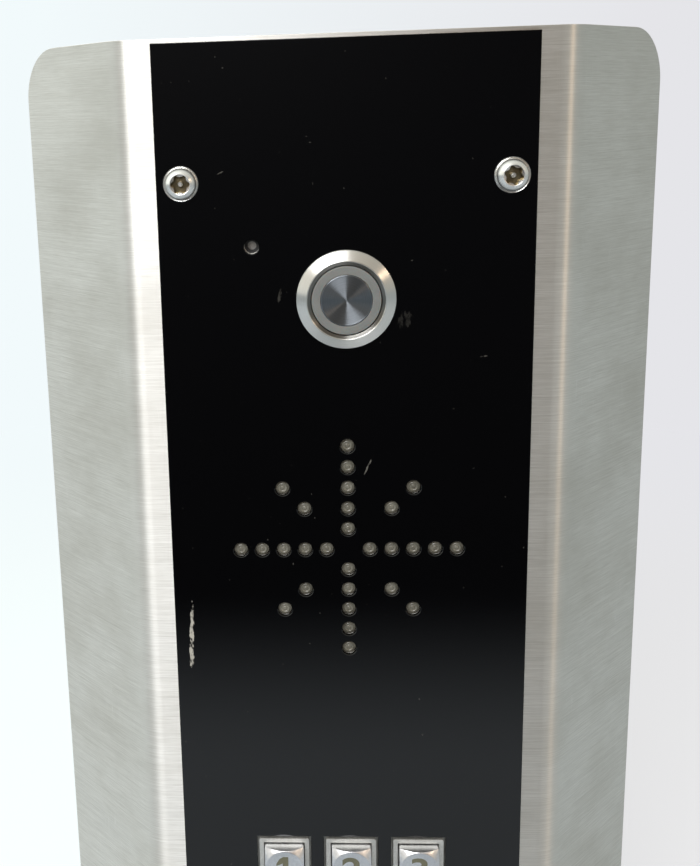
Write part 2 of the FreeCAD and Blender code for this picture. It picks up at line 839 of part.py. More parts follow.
def make_security_screws():
    body = new_body("security_screw", "screw_half", "screw_level")
    shank = face_sketch(body, "screw_shank", "screw_tip")
    draw_circles(shank, [("0", "0", "screw_size")])
    pad(body, shank, "screw_length")
    head = face_sketch(body, "screw_head_face", "facia_front")
    draw_circles(head, [("0", "0", "screw_head")])
    head_pad = pad(body, head, "screw_head_height")
    top = -measure("facia_front + screw_head_height")
    rim = [index for index, edge in enumerate(head_pad.Shape.Edges, start=1)
           if abs(edge.BoundBox.YMin - top) < 0.01 and abs(edge.BoundBox.YMax - top) < 0.01]
    dome = body.newObject("PartDesign::Fillet", "screw_dome_rounding")
    dome.Base = (head_pad, ["Edge%d" % index for index in rim])
    bind(dome, Radius="screw_dome")
    doc.recompute()
    socket = face_sketch(body, "screw_socket", "facia_front + screw_head_height")
    draw_circles(socket, [("0", "0", "socket_size"), ("0", "0", "socket_pin")])
    pocket(body, socket, "socket_depth")
    lobe = face_sketch(body, "screw_lobe", "facia_front + screw_head_height")
    draw_circles(lobe, [("lobe_circle / 2", "0", "lobe_size")])
    repeat_round(body, pocket(body, lobe, "socket_depth"), 6)
    keep(corners("security_screws", body), "security_screws")


def make_pillars():
    hexagonal = hexagon("pillar_bar", "screw_half", "screw_level", "pillar_flats", "tray_wall", "plate_back")
    thread = "screw_size + 2 * thread_gap"
    bore = post("pillar_bore", "screw_half", "screw_level", thread, "pillar_bore_end", "facia_front")
    keep(corners("pillars", cut("pillar", hexagonal, [bore])), "pillars")


# Back tray: open box with a turned-in rim, screwed to the wall

def make_back_tray():
    body = new_body("back_tray")
    outline = face_sketch(body, "tray_outline")
    draw_outlines(outline, [box_outline("0 - tray_half", "tray_half", "0 - tray_top", "tray_top")])
    pad(body, outline, "tray_rim")
    mouth = face_sketch(body, "tray_mouth", "tray_rim")
    side = "tray_half - tray_flange"
    top = "tray_top - tray_flange"
    draw_outlines(mouth, [box_outline("0 - (%s)" % side, side, "0 - (%s)" % top, top)])
    pocket(body, mouth, "tray_rim - tray_wall")
    inside = face_sketch(body, "tray_inside", "tray_rim - tray_wall")
    side = "tray_half - tray_wall"
    top = "tray_top - tray_wall"
    draw_outlines(inside, [box_outline("0 - (%s)" % side, side, "0 - (%s)" % top, top)])
    pocket(body, inside, "tray_rim - 2 * tray_wall")
    holes = face_sketch(body, "tray_holes")
    fixings = corner_holes("fixing_half_x", "fixing_half_z", "fixing_hole")
    draw_circles(holes, fixings + [("0", "cable_level", "cable_hole")])
    pocket(body, holes, "tray_wall", from_back=True)
    keep(body, "back_tray")


def make_plate_seal():
    side = "tray_half"
    top = "tray_top"
    strip = block("seal_outer", "0 - " + side, side, "tray_rim", "plate_back", "0 - " + top, top)
    side = "(tray_half - seal_width)"
    top = "(tray_top - seal_width)"
    hole = block("seal_inner", "0 - " + side, side, "tray_wall", "facia_front", "0 - " + top, top)
    keep(cut("plate_seal", strip, [hole]), "plate_seal")


def make_cable_bush():
    sleeve = "cable_hole / 2 - bush_gap"
    lip_front = "tray_wall + bush_flange_thick"
    turned("cable_bush", [
        ("bush_bore / 2", "0"),
        (sleeve, "0"),
        (sleeve, "tray_wall"),
        ("bush_flange / 2", "tray_wall"),
        ("bush_flange / 2", lip_front),
        ("bush_bore / 2", lip_front),
    ], z="cable_level")


# Call button

def make_button_housing():
    seal_floor = "facia_front + button_seal_thick"
    turned("button_housing", [
        ("button_rear_bore / 2", "button_back"),
        ("button_thread / 2", "button_back"),
        ("button_thread / 2", "facia_front"),
        ("button_seal_inner / 2", "facia_front"),
        ("button_seal_inner / 2", seal_floor),
        ("button_seal_outer / 2", seal_floor),
        ("button_seal_outer / 2", "facia_front"),
        ("bezel_size / 2", "facia_front"),
        ("bezel_size / 2", "bezel_front - bezel_edge"),
        ("bezel_size / 2 - bezel_edge", "bezel_front"),
        ("bezel_mouth / 2", "bezel_front"),
        ("button_bore / 2", "bezel_front - mouth_depth"),
        ("button_bore / 2", "shoulder"),
        ("button_rear_bore / 2", "shoulder"),
    ], z="button_level")


def make_button_plunger():
    recess = "disc_size / 2 + disc_gap"
    turned("button_plunger", [
        ("0", "cavity_front"),
        ("plunger_cavity / 2", "cavity_front"),
        ("plunger_cavity / 2", "plunger_back"),
        ("plunger_flange / 2", "plunger_back"),
        ("plunger_flange / 2", "plunger_flange_front"),
        ("ring_size / 2", "plunger_flange_front"),
        ("ring_size / 2", "ring_front"),
        (recess, "ring_front"),
        (recess, "disc_back"),
        ("0", "disc_back"),
    ], z="button_level")
    keep(post("button_disc", "0", "button_level", "disc_size", "disc_back", "ring_front"), "button_disc")


def make_button_spring():
    """Round wire wound in quarter turns, cut off square at both seats."""
    wire_radius = measure("spring_wire") / 2
    middle_radius = measure("spring_size") / 2 - wire_radius
    back = measure("spring_back") + wire_radius
    front = measure("spring_front") - wire_radius
    quarters = round(4 * measure("spring_turns"))
    rise = (front - back) / quarters

    def on_helix(quarter):
        angle = math.radians(90 * quarter)
        point = Vector(middle_radius * math.cos(angle), middle_radius * math.sin(angle), rise * quarter)
        run = middle_radius * math.pi / 2
        return point, Vector(-run * math.sin(angle), run * math.cos(angle), rise).normalize()

    arcs = []
    for quarter in range(quarters):
        arcs += two_arcs(*on_helix(quarter), *on_helix(quarter + 1))
    section = Part.Wire(Part.makeCircle(wire_radius, *on_helix(0)))
    spring = doc.addObject("Part::Feature", "button_spring")
    spring.Shape = Part.Wire(arcs).makePipeShell([section], True, False)
    spring.Placement = Placement(Vector(0, -back, measure("button_level")), FORWARD)
    print("button_spring: %.2f mm between turns" % (4 * rise - 2 * wire_radius))
    keep(spring, "button_spring")


def make_contact_block():
    turned("contact_block", [
        ("0", "block_back"),
        ("button_thread / 2", "block_back"),
        ("button_thread / 2", "button_back"),
        ("plunger_flange / 2", "button_back"),
        ("plunger_flange / 2", "block_front"),
        ("0", "block_front"),
    ], z="button_level")

    left = "blade_half_x - blade_width / 2"
    low = "button_level + blade_half_z - blade_thick / 2"
    right = left + " + blade_width"
    high = low + " + blade_thick"
    blade = block("button_blade", left, right, "blade_back", "block_back", low, high)
    keep(corners("button_terminals", blade, "button_level"), "button_terminals")

    offset = "lamp_circle * cos(45)"
    half = "lamp_side / 2"
    left = "%s - %s" % (offset, half)
    right = left + " + lamp_side"
    low = "button_level + %s - %s" % (offset, half)
    high = low + " + lamp_side"
    lamp = block("button_lamp", left, right, "block_front", "block_front + lamp_height", low, high)
    return corners("button_lamps", lamp, "button_level").Links


def make_button_fixings():
    turned("button_seal", [
        ("button_seal_inner / 2", "facia_front"),
        ("button_seal_outer / 2", "facia_front"),
        ("button_seal_outer / 2", "facia_front + button_seal_thick"),
        ("button_seal_inner / 2", "facia_front + button_seal_thick"),
    ], z="button_level")
    outside = hexagon("button_nut_bar", "0", "button_level", "button_nut_flats", "nut_back", "plate_back")
    thread = "button_thread + 2 * thread_gap"
    bore = post("button_nut_bore", "0", "button_level", thread, "tray_wall", "facia_front")
    keep(cut("button_nut", outside, [bore]), "button_nut")


def make_button_plug():
    """Socket pushed over the four blades."""
    half = "plug_side / 2"
    low = "button_level - " + half
    high = "button_level + " + half
    back = "block_back - plug_depth"
    shell = block("plug_shell", "0 - " + half, half, back, "block_back - rest_gap", low, high)
    slot_half = "(blade_width / 2 + thread_gap)"
    slot_rise = "(blade_thick / 2 + thread_gap)"
    left = "blade_half_x - " + slot_half
    right = "blade_half_x + " + slot_half
    low = "button_level + blade_half_z - " + slot_rise
    high = "button_level + blade_half_z + " + slot_rise
    slot = block("plug_slot", left, right, "blade_back - rest_gap", "block_back", low, high)
    keep(cut("button_plug", shell, [corners("plug_slots", slot, "button_level")]), "button_plug")


# Speaker

def make_speaker():
    mesh = post("speaker_mesh", "0", "speaker_level", "speaker_size", "mesh_back", "plate_back")
    keep(mesh, "speaker_mesh")
    turned("speaker_gasket", [
        ("rim_inner", "gasket_back"),
        ("speaker_radius", "gasket_back"),
        ("speaker_radius", "mesh_back"),
        ("rim_inner", "mesh_back"),
    ], z="speaker_level")

    basket = new_body("speaker_frame", z="speaker_level")
    revolve(basket, [
        ("gap_bore", "basket_floor_back"),
        ("basket_floor_radius", "basket_floor_back"),
        ("rim_inner + rim_thick", "rim_back"),
        ("speaker_radius", "rim_back"),
        ("speaker_radius", "rim_front"),
        ("rim_inner", "rim_front"),
        ("basket_floor_radius - basket_floor_thick", "basket_floor_front"),
        ("gap_bore", "basket_floor_front"),
    ])
    window = face_sketch(basket, "basket_window")
    inner = "basket_floor_radius + basket_window_inset"
    outer = "rim_inner - basket_window_end"
    inner_half = "basket_window_inner_half"
    outer_half = "basket_window_outer_half"
    draw_outlines(window, [[(inner, "0 - " + inner_half), (outer, "0 - " + outer_half),
                            (outer, outer_half), (inner, inner_half)]])
    repeat_round(basket, pocket(basket, window, "rim_back", from_back=True), 6)
    keep(basket, "speaker_frame")

    make_speaker_cone()
    top_plate = turned_body("pole_plate", [
        ("gap_bore", "pole_plate_back"),
        ("pole_plate_radius", "pole_plate_back"),
        ("pole_plate_radius", "basket_floor_back"),
        ("gap_bore", "basket_floor_back"),
    ], z="speaker_level")
    turned("speaker_magnet", [
        ("magnet_bore_radius", "magnet_back"),
        ("magnet_radius", "magnet_back"),
        ("magnet_radius", "pole_plate_back"),
        ("magnet_bore_radius", "pole_plate_back"),
    ], z="speaker_level")
    yoke = turned_body("pole_yoke", [
        ("0", "yoke_back"),
        ("pole_plate_radius", "yoke_back"),
        ("pole_plate_radius", "magnet_back"),
        ("pole_radius", "magnet_back"),
        ("pole_radius", "basket_floor_back"),
        ("0", "basket_floor_back"),
    ], z="speaker_level")
    keep(gather("speaker_poles", [top_plate, yoke]), "speaker_poles")


def make_speaker_cone():
    """Surround, cone, dust cap and coil former as one moulding."""
    edge = "rim_inner - cone_thick"
    shoulder_front = "cone_neck + cap_shoulder_rise"
    coil_inner = "coil_radius - coil_wall"
    turned("speaker_cone", [
        ("0", "cone_neck + cap_rise"),
        ("cap_shoulder_radius", shoulder_front),
        ("cone_neck_radius", "cone_neck"),
        (edge, "gasket_back"),
        ("speaker_radius", "gasket_back"),
        ("speaker_radius", "rim_front"),
        (edge, "rim_front"),
        ("cone_neck_radius", "cone_neck - cone_root_thick"),
        ("coil_radius", "cone_neck + coil_outer_rise"),
        ("coil_radius", "cone_neck - coil_depth"),
        (coil_inner, "cone_neck - coil_depth"),
        (coil_inner, "cone_neck + coil_inner_rise"),
        ("cap_shoulder_radius", shoulder_front + " - cap_shoulder_thick"),
        ("0", "cone_neck + cap_rise - cone_thick"),
    ], z="speaker_level")


def make_speaker_clips():
    """Flat clips on the rim, each turned to point at the speaker's centre."""
    bar = doc.addObject("Part::Box", "clip_bar")
    bind(bar, Length="clip_length", Width="clip_thick", Height="clip_width")
    turn = Rotation(Vector(0, 1, 0), -45)
    bar.Placement = Placement(Vector(), turn)
    bind(bar, Placement__Base__x="(clip_start + clip_width / 2) * cos(45)")
    bind(bar, Placement__Base__y="0 - rim_back")
    bind(bar, Placement__Base__z="speaker_level + (clip_start - clip_width / 2) * cos(45)")
    bore = "stud_size + 2 * thread_gap"
    hole = post("clip_hole", "clip_stud", "speaker_level + clip_stud", bore, "tray_wall", "plate_back")
    keep(corners("speaker_clips", cut("speaker_clip", bar, [hole]), "speaker_level"), "speaker_clips")

    half = "tag_width / 2"
    low = "speaker_level - speaker_radius"
    tag_back = "rim_back - tag_length"
    tag = block("speaker_tag", "0 - " + half, half, tag_back, "rim_back", low, low + " + tag_thick")
    keep(tag, "speaker_tag")


# Weld studs on the back of the plate, with their nuts

def make_studs():
    def stud(name, x, z, seat):
        return post(name, x, z, "stud_size", seat + " - stud_nut_thick - stud_tip", "plate_back")

    clip_z = "speaker_level + clip_stud"
    frame_z = "keypad_level + frame_stud_z"
    speaker_stud = stud("speaker_stud", "clip_stud", clip_z, "clip_back")
    keypad_stud = stud("keypad_stud", "frame_stud_x", frame_z, "frame_back")
    studs = corners("speaker_studs", speaker_stud, "speaker_level").Links
    studs += corners("keypad_studs", keypad_stud, "keypad_level").Links
    keep(gather("weld_studs", studs), "weld_studs")

    def nut(name, x, z, seat):
        low = seat + " - stud_nut_thick"
        outside = hexagon(name + "_bar", x, z, "stud_nut_flats", low, seat)
        bore = post(name + "_bore", x, z, "stud_size + 2 * thread_gap", "tray_wall", seat + " + stud_tip")
        return cut(name, outside, [bore])

    speaker_nut = nut("speaker_nut", "clip_stud", clip_z, "clip_back")
    keypad_nut = nut("keypad_nut", "frame_stud_x", frame_z, "frame_back")
    nuts = corners("speaker_nuts", speaker_nut, "speaker_level").Links
    nuts += corners("keypad_nuts", keypad_nut, "keypad_level").Links
    keep(gather("stud_nuts", nuts), "stud_nuts")


# Microphone

def make_microphone():
    bore = "mic_size / 2 + mic_fit"
    turned("microphone_boot", [
        ("boot_port / 2", "mic_front"),
        (bore, "mic_front"),
        (bore, "mic_back"),
        ("boot_size / 2", "mic_back"),
        ("boot_size / 2", "plate_back"),
        ("boot_port / 2", "plate_back"),
    ], x="mic_x", z="mic_level")
    keep(post("microphone", "mic_x", "mic_level", "mic_size", "mic_back", "mic_front"), "microphone")


# Keypad frame: one casting whose twelve collars stand in the windows of the facia

def make_keypad_frame():
    body = new_body("keypad_frame")
    base = face_sketch(body, "frame_base", "frame_back")
    high = "keypad_level + frame_half_z"
    low = "keypad_level - frame_half_z"
    draw_outlines(base, [box_outline("0 - frame_half_x", "frame_half_x", low, high)])
    pad(body, base, "frame_thick")
    collars = face_sketch(body, "frame_collars", "plate_back")
    draw_first_key(collars, "collar_side")
    collar_grid = repeat_keys(body, pad(body, collars, "collar_front - plate_back"))

    def collar_edge(middle, along):
        return abs(along.y) > 0.9 and middle.y < -measure("plate_back")

    body.Tip = fillet(body, collar_grid, collar_edge, "collar_corner")
    openings = face_sketch(body, "frame_openings")
    draw_first_key(openings, "key_opening")
    repeat_keys(body, pocket_through(body, openings))
    wells = face_sketch(body, "frame_wells", "frame_back")
    draw_first_key(wells, "key_well_side")
    repeat_keys(body, pocket(body, wells, "key_well", from_back=True))
    fixings = face_sketch(body, "frame_fixings")
    holes = corner_holes("frame_stud_x", "frame_stud_z", "stud_size + 2 * thread_gap", "keypad_level")
    holes += corner_holes("small_screw_x", "small_screw_z", "small_screw + 2 * thread_gap", "keypad_level")
    draw_circles(fixings, holes)
    pocket_through(body, fixings)
    keep(body, "keypad_frame")


# Keys: square caps with a flange behind, a coned top and a shallow finger dish

def make_key(name):
    x, z = key_place(name)
    label = "key_" + name
    body = new_body(label, x, z)
    flange = face_sketch(body, label + "_flange", "key_flange_back")
    draw_outlines(flange, [square_outline("0", "0", "key_flange")])
    pad(body, flange, "key_flange_thick")
    cap = face_sketch(body, label + "_cap", "key_flange_front")
    draw_outlines(cap, [square_outline("0", "0", "key_side")])
    cap_pad = pad(body, cap, "key_front - key_flange_front")

    def cap_edge(middle, along):
        return abs(along.y) > 0.9 and middle.y < -measure("key_flange_front")

    fillet(body, cap_pad, cap_edge, "key_corner")
    reach = "key_side"
    revolve(body, [
        ("key_face / 2", "key_front"),
        (reach, "key_front"),
        (reach, "key_front - (%s - key_face / 2) * tan(key_slope)" % reach),
    ], "PartDesign::Groove")
    dish = body.newObject("PartDesign::SubtractiveSphere", label + "_dish")
    dish.AttachmentSupport = (origin_plane(body, "XZ_Plane"), [""])
    dish.MapMode = "FlatFace"
    bind(dish, Radius="key_dish_radius")
    bind(dish, AttachmentOffset__Base__z="key_front - key_dish_depth + key_dish_radius")
    doc.recompute()
    keep(body, label)


# Rubber mat, keypad board, backlight lamps and screws

def make_key_mat():
    high = "keypad_level + mat_half_z"
    low = "keypad_level - mat_half_z"
    base = block("mat_base", "0 - mat_half_x", "mat_half_x", "mat_back", "frame_back", low, high)
    domes = []
    hollows = []
    for name in KEYS:
        x, z = key_place(name)
        dome = doc.addObject("Part::Cone", "dome_" + name)
        hollow = doc.addObject("Part::Cone", "dome_hollow_" + name)
        for cone in (dome, hollow):
            cone.Placement = Placement(Vector(), FORWARD)
            bind(cone, Placement__Base__x=x, Placement__Base__z=z)
        bind(dome, Radius1="dome_base / 2", Radius2="dome_top / 2", Height="dome_front - frame_back")
        bind(dome, Placement__Base__y="0 - frame_back")
        bind(hollow, Radius1="dome_base / 2 - dome_wall / 2", Radius2="dome_top / 2 - dome_wall")
        bind(hollow, Height="dome_front - mat_back - dome_wall", Placement__Base__y="0 - mat_back")
        domes.append(dome)
        hollows.append(hollow)
    hole = "small_screw + 2 * thread_gap"
    z = "keypad_level + small_screw_z"
    screw_hole = post("mat_hole", "small_screw_x", z, hole, "tray_wall", "plate_back")
    holes = corners("mat_holes", screw_hole, "keypad_level")
    keep(cut("key_mat", fuse("mat_moulding", [base] + domes), hollows + [holes]), "key_mat")


def make_keypad_board():
    high = "keypad_level + mat_half_z"
    low = "keypad_level - mat_half_z"
    board = block("key_board_blank", "0 - mat_half_x", "mat_half_x", "key_board_back", "mat_back", low, high)
    hole = "small_screw + 2 * thread_gap"
    z = "keypad_level + small_screw_z"
    screw_hole = post("key_board_hole", "small_screw_x", z, hole, "tray_wall", "plate_back")
    holes = corners("key_board_holes", screw_hole, "keypad_level")
    keep(cut("keypad_board", board, [holes]), "keypad_board")

    lamps = []
    for name in KEYS:
        x, z = key_place(name)
        left = x + " + key_lamp_offset - lamp_side / 2"
        right = left + " + lamp_side"
        low = z + " - lamp_side / 4"
        high = low + " + lamp_side / 2"
        lamps.append(block("lamp_" + name, left, right, "mat_back", "mat_back + key_lamp_height", low, high))
    return lamps


def board_screw(name, x, z, head, head_ends, shank, shank_ends):
    """Cheese-head screw: its head and its shank, each between two distances from the wall."""
    head_disc = post(name + "_head", x, z, head, *head_ends)
    stem = post(name + "_stem", x, z, shank, *shank_ends)
    return fuse(name, [head_disc, stem])


def make_keypad_screws():
    seat = "key_board_back"
    screw = board_screw("keypad_screw", "small_screw_x", "keypad_level + small_screw_z",
                        "small_screw_head", (seat + " - small_screw_head_height", seat),
                        "small_screw", (seat, "small_screw_tip"))
    keep(corners("keypad_screws", screw, "keypad_level"), "keypad_screws")


# Main board and what is soldered to it

def make_main_board():
    half = "board_width / 2"
    board = block("board_blank", "0 - " + half, half, "board_back", "board_front", "board_low", "board_high")
    hole = "board_screw + 2 * thread_gap"
    z = "board_centre + board_hole_z"
    screw_hole = post("board_hole", "board_hole_x", z, hole, "0", "plate_back")
    keep(cut("main_board", board, [corners("board_holes", screw_hole, "board_centre")]), "main_board")

    hexagonal = hexagon("standoff_bar", "board_hole_x", z, "standoff_flats", "tray_wall", "board_back")
    bore = post("standoff_bore", "board_hole_x", z, hole, "tray_wall + rest_gap", "plate_back")
    standoff = cut("standoff", hexagonal, [bore])
    keep(corners("board_standoffs", standoff, "board_centre"), "board_standoffs")

    seat = "board_front"
    screw = board_screw("main_board_screw", "board_hole_x", z,
                        "board_screw_head", (seat, seat + " + board_screw_head_height"),
                        "board_screw", (seat + " - board_screw_length", seat))
    keep(corners("board_screws", screw, "board_centre"), "board_screws")


def make_terminals():
    """Two blocks of screw terminals: a wire port in the top side and a screw in the face of each way."""
    left = "terminal_centre - terminal_length / 2"
    right = "terminal_centre + terminal_length / 2"
    housing = block("terminal_housing", left, right, "board_front", "terminal_front",
                    "terminal_low", "terminal_high")
    tools = []
    screws = []
    for way in range(int(measure("terminal_ways"))):
        x = "%s + %.1f * terminal_pitch" % (left, way + 0.5)
        port = doc.addObject("Part::Cylinder", "wire_port_%d" % way)
        bind(port, Radius="wire_port / 2", Height="wire_port_depth", Placement__Base__x=x)
        bind(port, Placement__Base__y="0 - wire_port_face")
        bind(port, Placement__Base__z="terminal_high - wire_port_depth")
        head_front = "terminal_front - terminal_screw_recess"
        well_floor = head_front + " - terminal_screw_length"
        z = "(terminal_low + terminal_high) / 2"
        well_size = "terminal_screw + 2 * screw_well_gap"
        well = post("screw_well_%d" % way, x, z, well_size, well_floor, "terminal_front")
        tools += [port, well]
        screws.append(post("clamp_screw_%d" % way, x, z, "terminal_screw", well_floor, head_front))
    keep(pair("terminal_blocks", cut("terminal_block", housing, tools)), "terminal_blocks")
    keep(pair("terminal_screws", gather("terminal_screw_row", screws)), "terminal_screws")


def chip(name, x, z, width, length, thick):
    left = "%s - %s / 2" % (x, width)
    low = "%s - %s / 2" % (z, length)
    front = "board_front + " + thick
    return block(name, left, "%s + %s" % (left, width), "board_front", front, low, "%s + %s" % (low, length))


def make_board_parts():
    relay = chip("relay", "relay_centre_x", "tall_level", "relay_width", "relay_length", "relay_height")
    keep(relay, "relay")

    cans = []
    for step in range(3):
        x = "0 - capacitor_first_x + %d * capacitor_step" % step
        front = "board_front + capacitor_height"
        cans.append(post("capacitor_%d" % step, x, "tall_level", "capacitor_size", "board_front", front))
    keep(gather("capacitors", cans), "capacitors")

    level = "processor_level"
    processor = chip("processor", "0", level, "processor_side", "processor_side", "processor_thick")
    amplifier = chip("amplifier", "0 - side_column", level,
                     "amplifier_width", "amplifier_length", "amplifier_thick")
    keep(gather("board_chips", [processor, amplifier]), "board_chips")

    base = chip("trimmer_base", "side_column", level, "trimmer_side", "trimmer_side", "trimmer_height")
    rotor_back = "board_front + trimmer_height"
    rotor_front = rotor_back + " + trimmer_rotor_height"
    rotor = post("trimmer_knob", "side_column", level, "trimmer_rotor", rotor_back, rotor_front)
    left = "side_column - trimmer_slot / 2"
    right = "side_column + trimmer_slot / 2"
    slot = block("trimmer_slot_cut", left, right, rotor_back, rotor_front,
                 level + " - trimmer_side / 2", level + " + trimmer_side / 2")
    keep(fuse("volume_trimmer", [base, cut("trimmer_rotor_slotted", rotor, [slot])]), "volume_trimmer")


# Ribbon cable between the two boards, and its headers

def make_ribbon():
    main_header = chip("main_header", "0", "header_level",
                       "header_width", "header_length", "main_header_height")
    low = "key_header_level - header_length / 2"
    high = "key_header_level + header_length / 2"
    half = "header_width / 2"
    key_header = block("key_header", "0 - " + half, half, "key_header_back", "key_board_back", low, high)
    keep(gather("ribbon_headers", [main_header, key_header]), "ribbon_headers")

    main_face = "main_header_front + ribbon_thick / 2"
    key_face = "key_header_back - ribbon_thick / 2"
    header_half = "header_length / 2"
    points = [
        place("0", main_face, "header_level - " + header_half),
        place("0", main_face, "header_level + %s + ribbon_straight" % header_half),
        place("0", key_face, "key_header_level - %s - ribbon_straight" % header_half),
        place("0", key_face, "key_header_level + " + header_half),
    ]
    across = Vector(measure("ribbon_width") / 2, 0, 0)
    up = Vector(0, measure("ribbon_thick") / 2, 0)
    ring = [points[0] + corner for corner in (-across - up, across - up, across + up, -across + up)]
    ribbon = doc.addObject("Part::Feature", "keypad_ribbon")
    ribbon.Shape = rounded_path(points).makePipeShell([Part.makePolygon(ring + ring[:1])], True, False)
    keep(ribbon, "keypad_ribbon")


# Leads inside the case: each runs from its part to a wire port of a terminal block

def make_lead(label, diameter, points):
    route = [place(*point) for point in points]
    path = rounded_path(route)
    section = Part.Wire(Part.makeCircle(measure(diameter) / 2, route[0], route[1] - route[0]))
    lead = doc.addObject("Part::Feature", label)
    lead.Shape = path.makePipeShell([section], True, False)
    expected = math.pi * (measure(diameter) / 2) ** 2 * path.Length
    print("%s: length %.1f mm, volume %.4f of its section times its length"
          % (label, path.Length, lead.Shape.Volume / expected))
    keep(lead, label)


def make_leads():
    first_port = "terminal_centre - terminal_length / 2 + 0.5 * terminal_pitch"
    last_port = "terminal_centre + terminal_length / 2 - 0.5 * terminal_pitch"
    port_floor = "terminal_high - wire_port_depth + rest_gap"
    above_port = "terminal_high + port_rise"
    make_lead("microphone_lead", "thin_lead", [
        ("mic_x", "mic_back", "mic_level"),
        ("mic_x", "lead_face + mic_lead_lift", "mic_level"),
        ("0 - lead_side", "lead_face", "mic_level - mic_lead_drop"),
        ("0 - lead_side", "lead_face", "lead_foot"),
        ("0 - (%s)" % last_port, "wire_port_face", above_port),
        ("0 - (%s)" % last_port, "wire_port_face", port_floor),
    ])
    make_lead("button_lead_cable", "button_lead", [
        ("plug_side / 2", "block_back - plug_depth / 2", "button_level"),
        ("plug_side / 2 + button_lead_out", "block_back - plug_depth / 2", "button_level"),
        ("lead_side", "lead_face", "button_level - button_lead_drop"),
        ("lead_side", "lead_face", "lead_foot"),
        (last_port, "wire_port_face", above_port),
        (last_port, "wire_port_face", port_floor),
    ])
    tag_edge = "speaker_level - speaker_radius"
    make_lead("speaker_lead", "thin_lead", [
        ("0 - tag_width / 4", "rim_back - tag_length / 2", tag_edge),
        ("0 - tag_width / 4", "rim_back - tag_length / 2", tag_edge + " - speaker_lead_drop"),
        ("0 - (%s)" % first_port, "wire_port_face", "terminal_high + speaker_lead_drop"),
        ("0 - (%s)" % first_port, "wire_port_face", port_floor),
    ])


def make_lead_clips():
    """Stick-on blocks on the tray floor that hold the two long leads."""
    left = "lead_side - clip_block_side / 2"
    right = "lead_side + clip_block_side / 2"
    front = "tray_wall + clip_block_height"
    clips = []
    for side, lead in ((1, "button_lead"), (-1, "thin_lead")):
        for name, level in (("upper", "upper_clip_level"), ("lower", "lower_clip_level")):
            low = level + " - clip_block_length / 2"
            high = level + " + clip_block_length / 2"
            edges = (left, right) if side > 0 else ("0 - (%s)" % right, "0 - (%s)" % left)
            label = "%s_clip_%s" % (name, lead)
            solid = block(label + "_block", *edges, "tray_wall", front, low, high)
            hole = doc.addObject("Part::Cylinder", label + "_hole")
            bind(hole, Radius="%s / 2 + clip_block_gap" % lead, Height="clip_block_length")
            bind(hole, Placement__Base__x="%d * lead_side" % side, Placement__Base__y="0 - lead_face")
            bind(hole, Placement__Base__z=low)
            clips.append(cut(label, solid, [hole]))
    keep(gather("lead_clips", clips), "lead_clips")


# Build the panel

make_front_plate()
make_facia()
make_security_screws()
make_pillars()
make_back_tray()
make_plate_seal()
make_cable_bush()
make_button_housing()
make_button_plunger()
make_button_spring()
button_lamps = make_contact_block()
make_button_fixings()
make_button_plug()
make_speaker()
make_speaker_clips()
make_studs()
make_microphone()
make_keypad_frame()
for key_name in KEYS:
    make_key(key_name)
make_key_mat()
key_lamps = make_keypad_board()
keep(gather("backlight_lamps", button_lamps + key_lamps), "backlight_lamps")
make_keypad_screws()
make_main_board()
make_terminals()
make_board_parts()
make_ribbon()
make_leads()
make_lead_clips()
doc.recompute()

# Check every object before anything is written

cutting = ("PartDesign::Pocket", "PartDesign::Groove", "PartDesign::SubtractiveSphere")
for thing in doc.Objects:
    if "Invalid" in thing.State or "Error" in thing.State:
        raise RuntimeError("%s did not compute: %s" % (thing.Name, thing.State))
    if thing.TypeId in cutting and thing.BaseFeature.Shape.Volume - thing.Shape.Volume < 1e-3:
        raise RuntimeError("%s cuts nothing" % thing.Name)
for node in nodes:
    if node.Shape.isNull() or not node.Shape.isValid() or not node.Shape.Solids:
        raise RuntimeError("%s has no valid shape" % node.Label)

os.makedirs("parts", exist_ok=True)
for node in nodes:
    node.Shape.exportStep("parts/%s.step" % node.Label)
print("%d pieces written" % len(nodes))
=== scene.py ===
# %% [markdown]
# # A wall-mounted door entry panel
# A folded steel cover hangs over a shallow tray on the wall. A black acrylic facia is stuck to it. Through it
# come four security screws, a call button with a light ring, a pattern of sound holes and a metal keypad. The
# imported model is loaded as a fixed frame. What the eye sees most is then modelled again with finer edges, and
# everything gets the finish of its real material.

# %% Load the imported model
import json
import math

import bmesh
import bpy
from mathutils import Matrix, Vector


